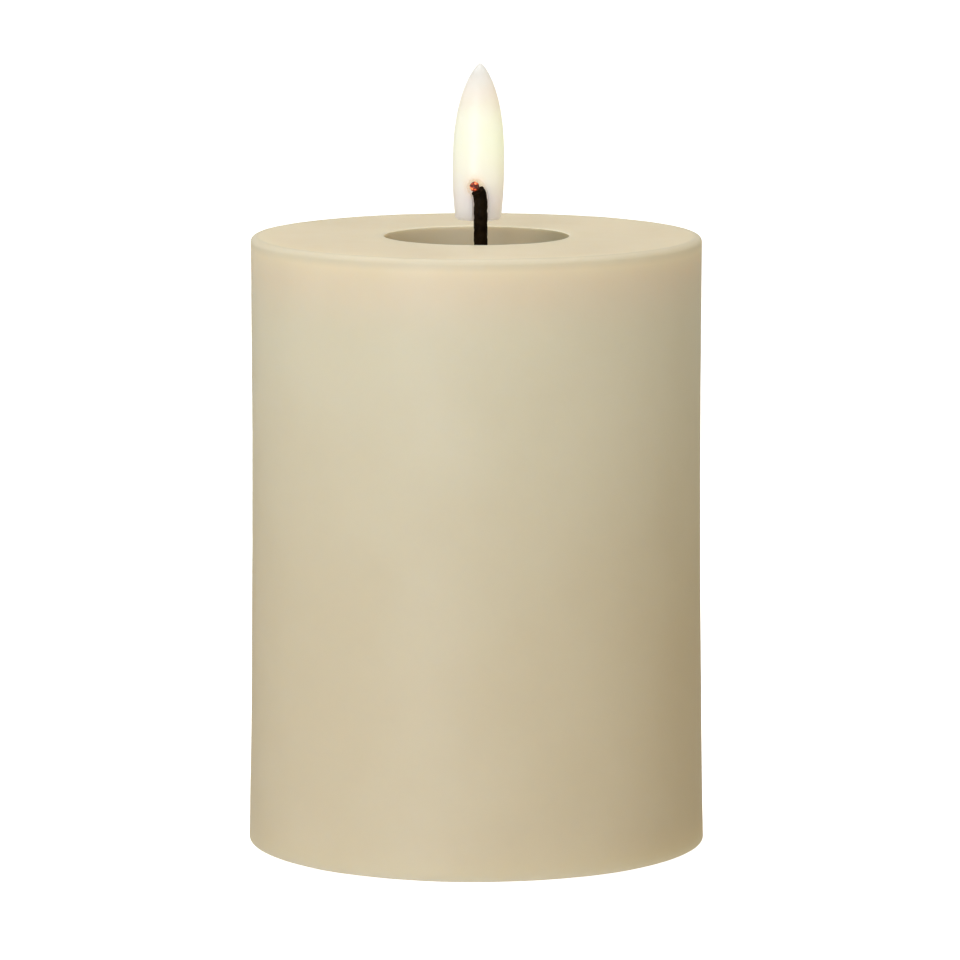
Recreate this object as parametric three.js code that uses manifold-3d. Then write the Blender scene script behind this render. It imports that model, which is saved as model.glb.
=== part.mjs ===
// A flameless LED pillar candle: a cast wax shell on a round plastic base that holds two AA cells, a hinged
// battery door and an on / off / timer slide switch. A column inside carries the moulded well floor, the bent
// black wick and the translucent flame with its two light emitters.
//
// Millimetres, +Z up. The origin is the centre of the base, on the surface that the candle stands on.
// -Y is the front, where the wick stands in front of the flame. The switch and its board are on the +Y side.
import * as THREE from "three";
import { mergeVertices } from "three/addons/utils/BufferGeometryUtils.js";
import Module from "manifold-3d";

// ---------------------------------------------------------------- driving dimensions
const GAP = 0.3; // running and assembly clearance between neighbours

// Wax shell: a cast pillar with half a degree of draft, open below, with a round well in its flat top.
const BODY_HEIGHT = 100;
const BODY_FOOT_RADIUS = 37.5;
const BODY_TOP_RADIUS = 36.8;
const RIM_RADIUS = 1.3;
const FOOT_EDGE_RADIUS = 0.3;
const WAX_FOOT_Z = 0.4; // the base ring carries the weight, so the wax ends just above the table
const WAX_BORE_RADIUS = 33;
const WAX_CEILING_Z = 91;
const WELL_RADIUS = 15;
const WELL_FLOOR_Z = 93.2;

// Base plate, foot ring and skirt.
const FOOT_OUTER_RADIUS = 32.6;
const FOOT_INNER_RADIUS = 31.6;
const PLATE_BOTTOM_Z = 0.8;
const PLATE_TOP_Z = 2.8;
const SKIRT_TOP_Z = 9;

// AA cells, side by side along X, pointing opposite ways.
const CELL_RADIUS = 7.15;
const CELL_BODY_LENGTH = 49;
const CELL_NUB_RADIUS = 2.75;
const CELL_NUB_LENGTH = 1.3;
const CELL_Y = 7.35;
const CELL_Z = 11;

// Battery bay: a tub turned upside down over the cells.
const BAY_HALF_LENGTH = 28.3;
const BAY_HALF_WIDTH = 15.4;
const BAY_INNER_RADIUS = 30.6;
const BAY_WALL = 1.4;
const BAY_FLOOR_Z = PLATE_TOP_Z + GAP;
const BAY_CEILING_Z = 18.6;
const BAY_TOP_Z = 20.2;
const CONTACT_THICKNESS = 0.4;
const CONTACT_HALF_WIDTH = 4.45;
const CONTACT_BACK_X = BAY_HALF_LENGTH - GAP;
const DOME_HEIGHT = 0.75;
const SPRING_LENGTH = 3.55;
const CONTACT_LOW_Z = 6;
const CONTACT_HIGH_Z = 16;
const TAB_TOP_Z = 22.4;

// Battery door, hinged on moulded stubs at its +X end.
const HINGE_X = 25.6;
const HINGE_Z = 2;
const BARREL_RADIUS = 1.2;
const BARREL_HALF_LENGTH = 9.1;
const STUB_RADIUS = 0.8;
const STUB_BORE_RADIUS = 0.92;
const STUB_END_Y = 11.2;
const DOOR_FAR_X = -26.7;
const DOOR_NEAR_X = 22.6;
const DOOR_SWING_GAP = 0.6; // between the panel's hinge edge and the plate, so that the edge swings clear
const DOOR_HALF_WIDTH = 16.7;
const DOOR_INNER_Z = 2.4;

// Screws: four through the base plate, two in the board, two in the column flange.
const BASE_SCREW_X = 18.8;
const BASE_SCREW_Y = 21;
const BOARD_SCREW_X = 10.5;
const COLUMN_SCREW_X = 11;
const PILOT_RADIUS = 1.35;

// Slide switch and its board.
const SWITCH_Y = 23;
const SWITCH_TRAVEL = 5; // on, off and timer are 2.5 mm apart
const SWITCH_REST_X = -SWITCH_TRAVEL / 2;
const SWITCH_PIN_X = [-3.75, -1.25, 1.25, 3.75];
const BOARD_BOTTOM_Z = 9;
const BOARD_TOP_Z = 10.2;
const BOARD_NEAR_Y = 18;
const BOARD_FAR_Y = 27.8;

// Column that stands on the bay and carries the well floor.
const COLUMN_FOOT_Z = 25.3;
const COLUMN_TOP_Z = 88;
const COLUMN_RADIUS = 6.2;
const COLUMN_BORE_RADIUS = 4.6;

// Wick, light leads and flame.
const WICK_X = 0.7;
const WICK_Y = -2;
const WICK_FOOT_Z = 87;
const WICK_RADIUS = 1.05;
const WICK_BORE_RADIUS = 0.75;
const GROOVE_RADIUS = 1.35;
const LEAD_RADIUS = 0.22;
const LEAD_OFFSET = 0.28; // of each lead from the middle of the wick
const PORT_Z = 105.6;
const FLAME_X = 0.3;
const FLAME_Y = 1.5;
const FLAME_FOOT_Z = 102.4;
const FLAME_WAIST_Z = 110.5; // height of the widest point
const FLAME_TIP_Z = 127.9;
const FLAME_RADIUS = 4.3;
const FLAME_WALL = 0.9;
const FLAME_LEAN = 0.35;

// ---------------------------------------------------------------- materials
const finish = (color, roughness, metalness = 0) => new THREE.MeshStandardMaterial({ color, roughness, metalness });
const WAX = finish(0xd6c9a6, 0.55);
const SAND_PLASTIC = finish(0xcabd9c, 0.5);
const IVORY_PLASTIC = finish(0xe6dfcc, 0.45);
const BLACK_PLASTIC = finish(0x1b1a19, 0.4);
const WICK_BLACK = finish(0x120d0a, 0.85);
const EMBER = finish(0xd8431f, 0.5);
const FLAME_WHITE = finish(0xfbf6e6, 0.35);
const EMITTER = finish(0xffe9b0, 0.3);
const BOARD_GREEN = finish(0x1f5a3a, 0.45);
const CELL_WRAP = finish(0x8f959b, 0.35, 0.6);
const SPRING_STEEL = finish(0xc9ccce, 0.28, 1);
const SCREW_STEEL = finish(0x9ea2a6, 0.35, 1);
const RED_WIRE = finish(0xb5261c, 0.45);
const BLACK_WIRE = finish(0x171717, 0.45);

// ---------------------------------------------------------------- solids and geometry helpers
const wasm = await Module();
wasm.setup();

/** A closed three.js geometry as a manifold-3d solid. */
function solid(geometry) {
  const bare = geometry.clone();
  bare.deleteAttribute("normal");
  bare.deleteAttribute("uv");
  const merged = mergeVertices(bare, 1e-4);
  return new wasm.Manifold(
    new wasm.Mesh({
      numProp: 3,
      vertProperties: merged.attributes.position.array,
      triVerts: new Uint32Array(merged.index.array),
    }),
  );
}

/** A manifold-3d solid as a three.js geometry with flat faces. */
function geometryOf(shape) {
  const mesh = shape.getMesh();
  const geometry = new THREE.BufferGeometry();
  geometry.setAttribute("position", new THREE.BufferAttribute(mesh.vertProperties, mesh.numProp));
  geometry.setIndex(new THREE.BufferAttribute(mesh.triVerts, 1));
  const flat = geometry.toNonIndexed();
  flat.computeVertexNormals();
  return flat;
}

/** The union of several solids. */
const join = (...shapes) => shapes.reduce((whole, shape) => whole.add(shape));

/** The first solid with the others cut out of it. */
const cut = (whole, ...tools) => tools.reduce((rest, tool) => rest.subtract(tool), whole);

/** A box between two corners. */
function block(x0, x1, y0, y1, z0, z1) {
  const geometry = new THREE.BoxGeometry(x1 - x0, y1 - y0, z1 - z0);
  return solid(geometry.translate((x0 + x1) / 2, (y0 + y1) / 2, (z0 + z1) / 2));
}

/** An upright cylinder. */
function post(radius, z0, z1, x = 0, y = 0, sides = 16) {
  const geometry = new THREE.CylinderGeometry(radius, radius, z1 - z0, sides);
  return solid(geometry.rotateX(Math.PI / 2).translate(x, y, (z0 + z1) / 2));
}

/** A cylinder along Y. */
function rodAlongY(radius, y0, y1, x, z, sides = 16) {
  const geometry = new THREE.CylinderGeometry(radius, radius, y1 - y0, sides);
  return solid(geometry.translate(x, (y0 + y1) / 2, z));
}

/** A cylinder or cone along X, with a radius at each end. */
function rodAlongX(radius0, radius1, x0, x1, y, z, sides = 16) {
  const geometry = new THREE.CylinderGeometry(radius1, radius0, x1 - x0, sides);
  return solid(geometry.rotateZ(-Math.PI / 2).translate((x0 + x1) / 2, y, z));
}

/** A profile of [radius, z] pairs turned about the Z axis. It runs anticlockwise seen with the axis on its left. */
function turned(profile, segments) {
  const points = profile.map(([radius, z]) => new THREE.Vector2(radius, z));
  return solid(new THREE.LatheGeometry(points, segments).rotateX(Math.PI / 2));
}

/** Points of a quarter round about a centre, from one angle to another, in degrees. */
function arc(centreRadius, centreZ, radius, from, to, steps) {
  return Array.from({ length: steps + 1 }, (_, i) => {
    const angle = THREE.MathUtils.degToRad(from + ((to - from) * i) / steps);
    return [centreRadius + radius * Math.cos(angle), centreZ + radius * Math.sin(angle)];
  });
}

/** An upright slab with a rounded rectangular outline. */
function slab(x0, x1, y0, y1, z0, z1, cornerRadius) {
  const outline = new THREE.Shape();
  const quarter = Math.PI / 2;
  outline.absarc(x1 - cornerRadius, y1 - cornerRadius, cornerRadius, 0, quarter);
  outline.absarc(x0 + cornerRadius, y1 - cornerRadius, cornerRadius, quarter, 2 * quarter);
  outline.absarc(x0 + cornerRadius, y0 + cornerRadius, cornerRadius, 2 * quarter, 3 * quarter);
  outline.absarc(x1 - cornerRadius, y0 + cornerRadius, cornerRadius, 3 * quarter, 4 * quarter);
  const geometry = new THREE.ExtrudeGeometry(outline, { depth: z1 - z0, bevelEnabled: false, curveSegments: 4 });
  return solid(geometry.translate(0, 0, z0));
}

/** A smooth curve through [x, y, z] points, stepped evenly from point to point, so that close points give fine bends. */
class PointCurve extends THREE.CatmullRomCurve3 {
  constructor(points) {
    const knots = points.map(([x, y, z]) => new THREE.Vector3(x, y, z));
    super(knots, false, "centripetal");
  }

  getPointAt(u, target) {
    return this.getPoint(u, target);
  }

  getTangentAt(u, target) {
    return this.getTangent(u, target);
  }
}

/** A round section swept along a point curve, with the given number of steps from each point to the next. */
function swept(curve, radius, stepsPerSpan, sides) {
  const section = new THREE.Shape();
  section.absarc(0, 0, radius, 0, 2 * Math.PI);
  const steps = stepsPerSpan * (curve.points.length - 1);
  const options = { steps, extrudePath: curve, curveSegments: sides / 2, bevelEnabled: false };
  return solid(new THREE.ExtrudeGeometry(section, options));
}

const candle = new THREE.Group();

/** Adds one named sub-part to the candle. */
function place(name, shape, material) {
  const mesh = new THREE.Mesh(geometryOf(shape), material);
  mesh.name = name;
  candle.add(mesh);
}

// ---------------------------------------------------------------- wax shell and well floor
function waxShell() {
  const edge = 0.5;
  const draft = (BODY_FOOT_RADIUS - BODY_TOP_RADIUS) / BODY_HEIGHT;
  const outerFootRadius = BODY_FOOT_RADIUS - draft * WAX_FOOT_Z;
  return turned(
    [
      [WAX_BORE_RADIUS + edge, WAX_FOOT_Z],
      ...arc(outerFootRadius - FOOT_EDGE_RADIUS, WAX_FOOT_Z + FOOT_EDGE_RADIUS, FOOT_EDGE_RADIUS, -90, 0, 2),
      ...arc(BODY_TOP_RADIUS - RIM_RADIUS, BODY_HEIGHT - RIM_RADIUS, RIM_RADIUS, 0, 90, 5),
      ...arc(WELL_RADIUS + edge, BODY_HEIGHT - edge, edge, 90, 180, 2),
      [WELL_RADIUS, WAX_CEILING_Z + edge],
      [WELL_RADIUS + edge, WAX_CEILING_Z],
      [WAX_BORE_RADIUS - 2, WAX_CEILING_Z],
      [WAX_BORE_RADIUS, WAX_CEILING_Z - 2],
      [WAX_BORE_RADIUS, WAX_FOOT_Z + edge],
      [WAX_BORE_RADIUS + edge, WAX_FOOT_Z],
    ],
    64,
  );
}

function wellCup() {
  const plugRadius = WELL_RADIUS - GAP;
  const flangeTop = WAX_CEILING_Z - GAP;
  const skin = 1.6;
  const collarInner = COLUMN_RADIUS + GAP;
  const collarOuter = collarInner + 1.4;
  const underFloor = WELL_FLOOR_Z - skin - 0.2;
  const cup = turned(
    [
      [0, COLUMN_TOP_Z + GAP],
      [collarInner, COLUMN_TOP_Z + GAP],
      [collarInner, COLUMN_TOP_Z - 6],
      [collarOuter, COLUMN_TOP_Z - 6],
      [collarOuter, underFloor],
      [plugRadius - skin, underFloor],
      [plugRadius - skin, flangeTop - skin],
      [20, flangeTop - skin],
      [20, flangeTop],
      [plugRadius, flangeTop],
      [plugRadius, WELL_FLOOR_Z + 0.9],
      [plugRadius - 0.7, WELL_FLOOR_Z + 0.4],
      [plugRadius - 2.4, WELL_FLOOR_Z + 0.1],
      [8, WELL_FLOOR_Z],
      [4, WELL_FLOOR_Z + 0.2],
      [0, WELL_FLOOR_Z + 0.5],
    ],
    40,
  );
  return cut(cup, post(GROOVE_RADIUS, COLUMN_TOP_Z, BODY_HEIGHT, WICK_X, WICK_Y));
}

// ---------------------------------------------------------------- base plate and battery door
function basePlate() {
  const farEdge = 40; // beyond the skirt, for tools that trim it
  const openingFar = DOOR_FAR_X - GAP;
  const openingNear = DOOR_NEAR_X + DOOR_SWING_GAP;
  const openingWidth = DOOR_HALF_WIDTH + GAP;
  const lugInner = BARREL_HALF_LENGTH + GAP;
  const pocketEnd = HINGE_X + BARREL_RADIUS + GAP;
  const bayHalf = BAY_HALF_WIDTH + BAY_WALL + GAP;
  const dish = turned(
    [
      [0, PLATE_BOTTOM_Z],
      [FOOT_INNER_RADIUS, PLATE_BOTTOM_Z],
      [FOOT_INNER_RADIUS, 0],
      [FOOT_OUTER_RADIUS, 0],
      [FOOT_OUTER_RADIUS, SKIRT_TOP_Z],
      [FOOT_INNER_RADIUS, SKIRT_TOP_Z],
      [FOOT_INNER_RADIUS, PLATE_TOP_Z],
      [0, PLATE_TOP_Z],
    ],
    64,
  );
  const skirtGap = block(-farEdge, farEdge, -bayHalf, bayHalf, PLATE_TOP_Z, SKIRT_TOP_Z + 1);
  const lugs = [-1, 1].map((side) => {
    const inner = side * lugInner;
    const outer = side * (STUB_END_Y + 0.8);
    return block(
      openingNear,
      pocketEnd + 0.2,
      Math.min(inner, outer),
      Math.max(inner, outer),
      PLATE_BOTTOM_Z,
      HINGE_Z + STUB_BORE_RADIUS + 0.8,
    );
  });
  const screwPlaces = [-1, 1].flatMap((sx) => [-1, 1].map((sy) => [sx * BASE_SCREW_X, sy * BASE_SCREW_Y]));
  const bosses = screwPlaces.map(([x, y]) => post(3.4, PLATE_TOP_Z - 0.5, 5, x, y));
  const boardPosts = [-1, 1].map((side) =>
    post(2.2, PLATE_TOP_Z - 0.5, BOARD_BOTTOM_Z - 0.2, side * BOARD_SCREW_X, SWITCH_Y),
  );
  const slotHalf = SWITCH_TRAVEL / 2 + 2.8 + GAP;
  return cut(
    join(cut(dish, skirtGap), ...lugs, ...bosses, ...boardPosts),
    slab(openingFar, openingNear, -openingWidth, openingWidth, 0, PLATE_TOP_Z + 0.1, 4),
    block(openingNear - 1, pocketEnd, -lugInner, lugInner, 0, SKIRT_TOP_Z),
    rodAlongY(STUB_BORE_RADIUS, -STUB_END_Y - 0.2, STUB_END_Y + 0.2, HINGE_X, HINGE_Z),
    slab(openingFar - 2.6, openingFar + 1, -5, 5, 0, PLATE_BOTTOM_Z + 1.1, 1.2),
    slab(-slotHalf, slotHalf, SWITCH_Y - 2.3, SWITCH_Y + 2.3, 0, PLATE_TOP_Z + 0.1, 2),
    slab(-slotHalf - 1.8, slotHalf + 1.8, SWITCH_Y - 3.6, SWITCH_Y + 3.6, 0, PLATE_BOTTOM_Z + 0.5, 3),
    ...screwPlaces.map(([x, y]) => post(2.4, 0, 3, x, y)),
    ...screwPlaces.map(([x, y]) => post(PILOT_RADIUS, 0, 6, x, y)),
    ...[-1, 1].map((side) => post(1.15, 4, BOARD_BOTTOM_Z, side * BOARD_SCREW_X, SWITCH_Y)),
  );
}

function batteryDoor() {
  const panel = slab(
    DOOR_FAR_X,
    DOOR_NEAR_X,
    -DOOR_HALF_WIDTH,
    DOOR_HALF_WIDTH,
    PLATE_BOTTOM_Z,
    DOOR_INNER_Z,
    3.7,
  );
  const tongue = block(DOOR_NEAR_X - 4, HINGE_X, -BARREL_HALF_LENGTH, BARREL_HALF_LENGTH, PLATE_BOTTOM_Z, DOOR_INNER_Z);
  const barrel = rodAlongY(BARREL_RADIUS, -BARREL_HALF_LENGTH, BARREL_HALF_LENGTH, HINGE_X, HINGE_Z);
  const stubs = rodAlongY(STUB_RADIUS, -STUB_END_Y, STUB_END_Y, HINGE_X, HINGE_Z);
  const ribs = [-13.4, 0, 13.4].map((y) => block(-17, 19.5, y - 0.5, y + 0.5, DOOR_INNER_Z - 0.5, DOOR_INNER_Z + 0.9));
  const nub = rodAlongY(0.25, -2.5, 2.5, DOOR_FAR_X, 1.9, 12);
  const gripRidges = [-25.2, -24, -22.8].map((x) => block(x - 0.3, x + 0.3, -3, 3, PLATE_BOTTOM_Z - 0.35, DOOR_INNER_Z));
  const latchSlots = [-1, 1].map((side) =>
    block(DOOR_FAR_X - 1, -19, side * 4.9 - 0.4, side * 4.9 + 0.4, 0, DOOR_INNER_Z + 2),
  );
  return cut(join(panel, tongue, barrel, stubs, ...ribs, nub, ...gripRidges), ...latchSlots);
}

// ---------------------------------------------------------------- battery bay, cells and contacts
function batteryBay() {
  const outer = block(
    -BAY_HALF_LENGTH - BAY_WALL,
    BAY_HALF_LENGTH + BAY_WALL,
    -BAY_HALF_WIDTH - BAY_WALL,
    BAY_HALF_WIDTH + BAY_WALL,
    BAY_FLOOR_Z,
    BAY_TOP_Z,
  ).intersect(post(BAY_INNER_RADIUS + BAY_WALL, 0, 30, 0, 0, 64));
  const inner = block(
    -BAY_HALF_LENGTH,
    BAY_HALF_LENGTH,
    -BAY_HALF_WIDTH,
    BAY_HALF_WIDTH,
    0,
    BAY_CEILING_Z,
  ).intersect(post(BAY_INNER_RADIUS, -1, 30, 0, 0, 64));
  const ridge = block(-24, 24, -0.6, 0.6, 15.4, BAY_CEILING_Z + 0.5);
  const corners = [-1, 1].flatMap((sx) => [-1, 1].map((sy) => [sx * BASE_SCREW_X, sy * BASE_SCREW_Y]));
  const bosses = corners.map(([x, y]) => post(3, 5.3, 13, x, y));
  const webs = corners.map(([x, y]) => {
    const near = Math.sign(y) * (BAY_HALF_WIDTH + 0.7);
    return block(x - 1, x + 1, Math.min(near, y), Math.max(near, y), 5.3, 13);
  });
  const columnBosses = [-1, 1].map((side) => post(2.9, BAY_TOP_Z - 0.5, COLUMN_FOOT_Z - GAP, side * COLUMN_SCREW_X, 0));
  const tabSlots = [-1, 1].map((side) =>
    block(-BAY_HALF_LENGTH, -27.2, side * CELL_Y - 1.9, side * CELL_Y + 1.9, BAY_CEILING_Z - 1, BAY_TOP_Z + 1),
  );
  return cut(
    join(cut(outer, inner), ridge, ...webs, ...bosses, ...columnBosses),
    ...tabSlots,
    ...corners.map(([x, y]) => post(PILOT_RADIUS, 5, 12.4, x, y)),
    ...[-1, 1].map((side) => post(1.15, BAY_TOP_Z, COLUMN_FOOT_Z, side * COLUMN_SCREW_X, 0)),
  );
}

/** An AA cell along X. direction is the way its positive nub points, and nubEnd is the nub's end. */
function cell(direction, nubEnd, y) {
  const shoulder = nubEnd - direction * CELL_NUB_LENGTH;
  const tail = shoulder - direction * CELL_BODY_LENGTH;
  const bevel = direction * 0.5;
  const span = (r0, r1, a, b) =>
    a < b ? rodAlongX(r0, r1, a, b, y, CELL_Z, 28) : rodAlongX(r1, r0, b, a, y, CELL_Z, 28);
  return join(
    span(CELL_RADIUS, CELL_RADIUS, shoulder - bevel, tail + bevel),
    span(CELL_RADIUS - 0.5, CELL_RADIUS, shoulder, shoulder - bevel),
    span(CELL_RADIUS, CELL_RADIUS - 0.5, tail + bevel, tail),
    span(CELL_NUB_RADIUS, CELL_NUB_RADIUS, nubEnd, shoulder - bevel),
  );
}

/** A flat contact plate standing at one end of the bay, end being -1 or 1, over a span of Y. */
function contactPlate(end, y0, y1) {
  const back = end * CONTACT_BACK_X;
  const face = back - end * CONTACT_THICKNESS;
  return block(Math.min(back, face), Math.max(back, face), y0, y1, CONTACT_LOW_Z, CONTACT_HIGH_Z);
}

/** The contact plate behind one cell. */
const cellPlate = (end, y) => contactPlate(end, y - CONTACT_HALF_WIDTH, y + CONTACT_HALF_WIDTH);

/** The pressed dome of a positive contact. */
function contactDome(end, y) {
  const root = CONTACT_BACK_X - CONTACT_THICKNESS / 2;
  const crown = CONTACT_BACK_X - CONTACT_THICKNESS - DOME_HEIGHT;
  return end > 0
    ? rodAlongX(1.4, 2.6, crown, root, y, CELL_Z)
    : rodAlongX(2.6, 1.4, -root, -crown, y, CELL_Z);
}

/** The conical coil of a negative contact, pressed by its cell: one wire from the plate to the cell. */
function contactSpring(end, y) {
  const wireRadius = 0.35;
  const pointsPerTurn = 12;
  const turns = 3.5;
  const spans = pointsPerTurn * turns;
  const points = Array.from({ length: spans + 1 }, (_, i) => {
    const angle = (i / pointsPerTurn) * 2 * Math.PI;
    const radius = 4 - 1.3 * (i / spans);
    const x = CONTACT_BACK_X - wireRadius - SPRING_LENGTH * (i / spans);
    return [end * x, y + radius * Math.cos(angle), CELL_Z + radius * Math.sin(angle)];
  });
  return swept(new PointCurve(points), wireRadius, 1, 6);
}

/** The solder tab of a contact at the -X end, up through the bay's roof. */
function contactTab(y) {
  const back = -CONTACT_BACK_X;
  return block(back, back + CONTACT_THICKNESS, y - 1.5, y + 1.5, CONTACT_HIGH_Z - 1, TAB_TOP_Z);
}

// ---------------------------------------------------------------- switch, board and electronics
function switchBody() {
  const body = block(-6.35, 6.35, SWITCH_Y - 2.5, SWITCH_Y + 2.5, 4.5, 8.7);
  const carriageRoom = block(-5.6, 5.6, SWITCH_Y - 1.9, SWITCH_Y + 1.9, 5.2, 7.5);
  const leverSlot = block(-3.9, 3.9, SWITCH_Y - 1.15, SWITCH_Y + 1.15, 4, 5.3);
  const pins = SWITCH_PIN_X.map((x) => post(0.35, 8.5, BOARD_TOP_Z + 0.7, x, SWITCH_Y, 8));
  return join(cut(body, carriageRoom, leverSlot), ...pins);
}

function switchSlider() {
  const x = SWITCH_REST_X;
  return join(
    block(x - 2.2, x + 2.2, SWITCH_Y - 1.6, SWITCH_Y + 1.6, 5.5, 7.2),
    block(x - 1, x + 1, SWITCH_Y - 0.8, SWITCH_Y + 0.8, 1.9, 5.6),
  );
}

function switchKnob() {
  const x = SWITCH_REST_X;
  const grip = slab(x - 2.8, x + 2.8, SWITCH_Y - 2, SWITCH_Y + 2, 0.5, 3.4, 1.7);
  const flange = block(x - 4, x + 4, SWITCH_Y - 3.2, SWITCH_Y + 3.2, PLATE_TOP_Z + GAP, 3.8);
  const socket = block(x - 1.3, x + 1.3, SWITCH_Y - 1.1, SWITCH_Y + 1.1, 1.6, 4);
  const grooves = [-1.2, 0, 1.2].map((dx) =>
    block(x + dx - 0.2, x + dx + 0.2, SWITCH_Y - 1.5, SWITCH_Y + 1.5, 0, 0.8),
  );
  return cut(join(grip, flange), socket, ...grooves);
}

function controlBoard() {
  return cut(
    slab(-13, 13, BOARD_NEAR_Y, BOARD_FAR_Y, BOARD_BOTTOM_Z, BOARD_TOP_Z, 1.2),
    ...[-1, 1].map((side) => post(1.15, 8, 11, side * BOARD_SCREW_X, SWITCH_Y)),
    ...SWITCH_PIN_X.map((x) => post(0.65, 8, 11, x, SWITCH_Y, 8)),
  );
}

function timerChip() {
  const [x, y, z] = [-3.4, 20.15, BOARD_TOP_Z + GAP];
  const legs = [-1.9, -0.6, 0.6, 1.9].map((dx) => block(x + dx - 0.2, x + dx + 0.2, y - 2.15, y + 2.15, z, z + 0.4));
  return join(block(x - 2.6, x + 2.6, y - 1.6, y + 1.6, z + 0.1, z + 1.5), ...legs);
}

function timingCrystal() {
  const z = BOARD_TOP_Z + GAP + 1;
  return join(rodAlongX(1, 1, 2, 8, 20, z), rodAlongX(0.25, 0.25, 1.2, 2.2, 20, z, 8));
}

function smoothingCapacitor() {
  const [x, y, z] = [6.3, 25, BOARD_TOP_Z + GAP];
  return join(post(2, z, z + 4.2, x, y), post(2.2, z + 4, z + 4.6, x, y));
}

/** A block between two heights given in either order. */
const upright = (x0, x1, y0, y1, za, zb) => block(x0, x1, y0, y1, Math.min(za, zb), Math.max(za, zb));

/** A post between two heights given in either order. */
const pin = (radius, za, zb, x, y, sides) => post(radius, Math.min(za, zb), Math.max(za, zb), x, y, sides);

/** A pan-head screw seated at headZ, its cross recess looking up when facing is 1 and down when it is -1. */
function screw(x, y, headZ, facing, { headRadius, headHeight, shankRadius, shankLength }) {
  const crown = headZ + facing * headHeight;
  const recessFloor = crown - facing * headHeight * 0.6;
  const arm = headRadius * 0.6;
  return cut(
    join(
      pin(headRadius, headZ, crown, x, y, 16),
      pin(shankRadius, headZ + facing * 0.2, headZ - facing * shankLength, x, y, 10),
    ),
    upright(x - arm, x + arm, y - 0.25, y + 0.25, recessFloor, crown + facing),
    upright(x - 0.25, x + 0.25, y - arm, y + arm, recessFloor, crown + facing),
  );
}

// ---------------------------------------------------------------- column
function supportColumn() {
  const flangeTop = COLUMN_FOOT_Z + 2;
  const flange = slab(-15, 15, -5, 5, COLUMN_FOOT_Z, flangeTop, 4.5);
  const gussets = [-1, 1].map((side) => {
    const outline = new THREE.Shape([
      new THREE.Vector2(side * 4.8, flangeTop - 0.5),
      new THREE.Vector2(side * 8.2, flangeTop - 0.5),
      new THREE.Vector2(side * 8.2, flangeTop + 1),
      new THREE.Vector2(side * 5.6, flangeTop + 14),
      new THREE.Vector2(side * 4.8, flangeTop + 14),
    ]);
    const web = new THREE.ExtrudeGeometry(outline, { depth: 1.4, bevelEnabled: false });
    return solid(web.rotateX(Math.PI / 2).translate(0, 0.7, 0));
  });
  return cut(
    join(flange, post(COLUMN_RADIUS, COLUMN_FOOT_Z, COLUMN_TOP_Z, 0, 0, 28), ...gussets),
    post(COLUMN_BORE_RADIUS, 20, 90, 0, 0, 28),
    ...[-1, 1].map((side) => post(1.2, 20, 30, side * COLUMN_SCREW_X, 0)),
  );
}

// ---------------------------------------------------------------- wick and flame
/** The wick's middle line from a foot height: upright to inside the flame's groove, then bent to the front left. */
const wickCurve = (footZ) =>
  new PointCurve([
    [WICK_X, WICK_Y, footZ],
    [WICK_X, WICK_Y, 101],
    [WICK_X, WICK_Y, 104.6],
    [WICK_X, WICK_Y, 105.6],
    [WICK_X - 0.07, WICK_Y - 0.04, 106.4],
    [WICK_X - 0.27, WICK_Y - 0.17, 107.05],
    [WICK_X - 0.5, WICK_Y - 0.32, 107.4],
  ]);

/** The place that lies a distance past the wick's end. */
function pastWick(distance) {
  const curve = wickCurve(WICK_FOOT_Z);
  return curve.getPoint(1).addScaledVector(curve.getTangent(1), distance);
}

/** The short hole through which the leads pass from the wick into the flame. */
const leadPort = () => rodAlongY(0.72, WICK_Y, WICK_Y + 3, WICK_X, PORT_Z, 12);

function wickSleeve() {
  return cut(
    swept(wickCurve(WICK_FOOT_Z), WICK_RADIUS, 4, 12),
    post(WICK_BORE_RADIUS, WICK_FOOT_Z - 1, PORT_Z + 0.4, WICK_X, WICK_Y, 12),
    leadPort(),
  );
}

function wickEmber() {
  const thickness = 0.7;
  const bead = new THREE.SphereGeometry(WICK_RADIUS, 12, 8).scale(0.97, thickness, 0.97);
  const heading = wickCurve(WICK_FOOT_Z).getTangent(1);
  bead.applyQuaternion(new THREE.Quaternion().setFromUnitVectors(new THREE.Vector3(0, 1, 0), heading));
  const seat = pastWick(WICK_RADIUS * thickness + 0.2);
  return solid(bead.translate(seat.x, seat.y, seat.z));
}

/** Radius of the flame's outside at a height: a slightly drawn-in foot below the waist, and a pointed ogive above. */
function flameRadius(z) {
  if (z < FLAME_WAIST_Z) {
    const drop = (FLAME_WAIST_Z - z) / (FLAME_WAIST_Z - FLAME_FOOT_Z);
    return FLAME_RADIUS * (1 - 0.1 * drop ** 2);
  }
  const rise = (z - FLAME_WAIST_Z) / (FLAME_TIP_Z - FLAME_WAIST_Z);
  return FLAME_RADIUS * (1 - rise ** 2.6) ** 0.75;
}

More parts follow.
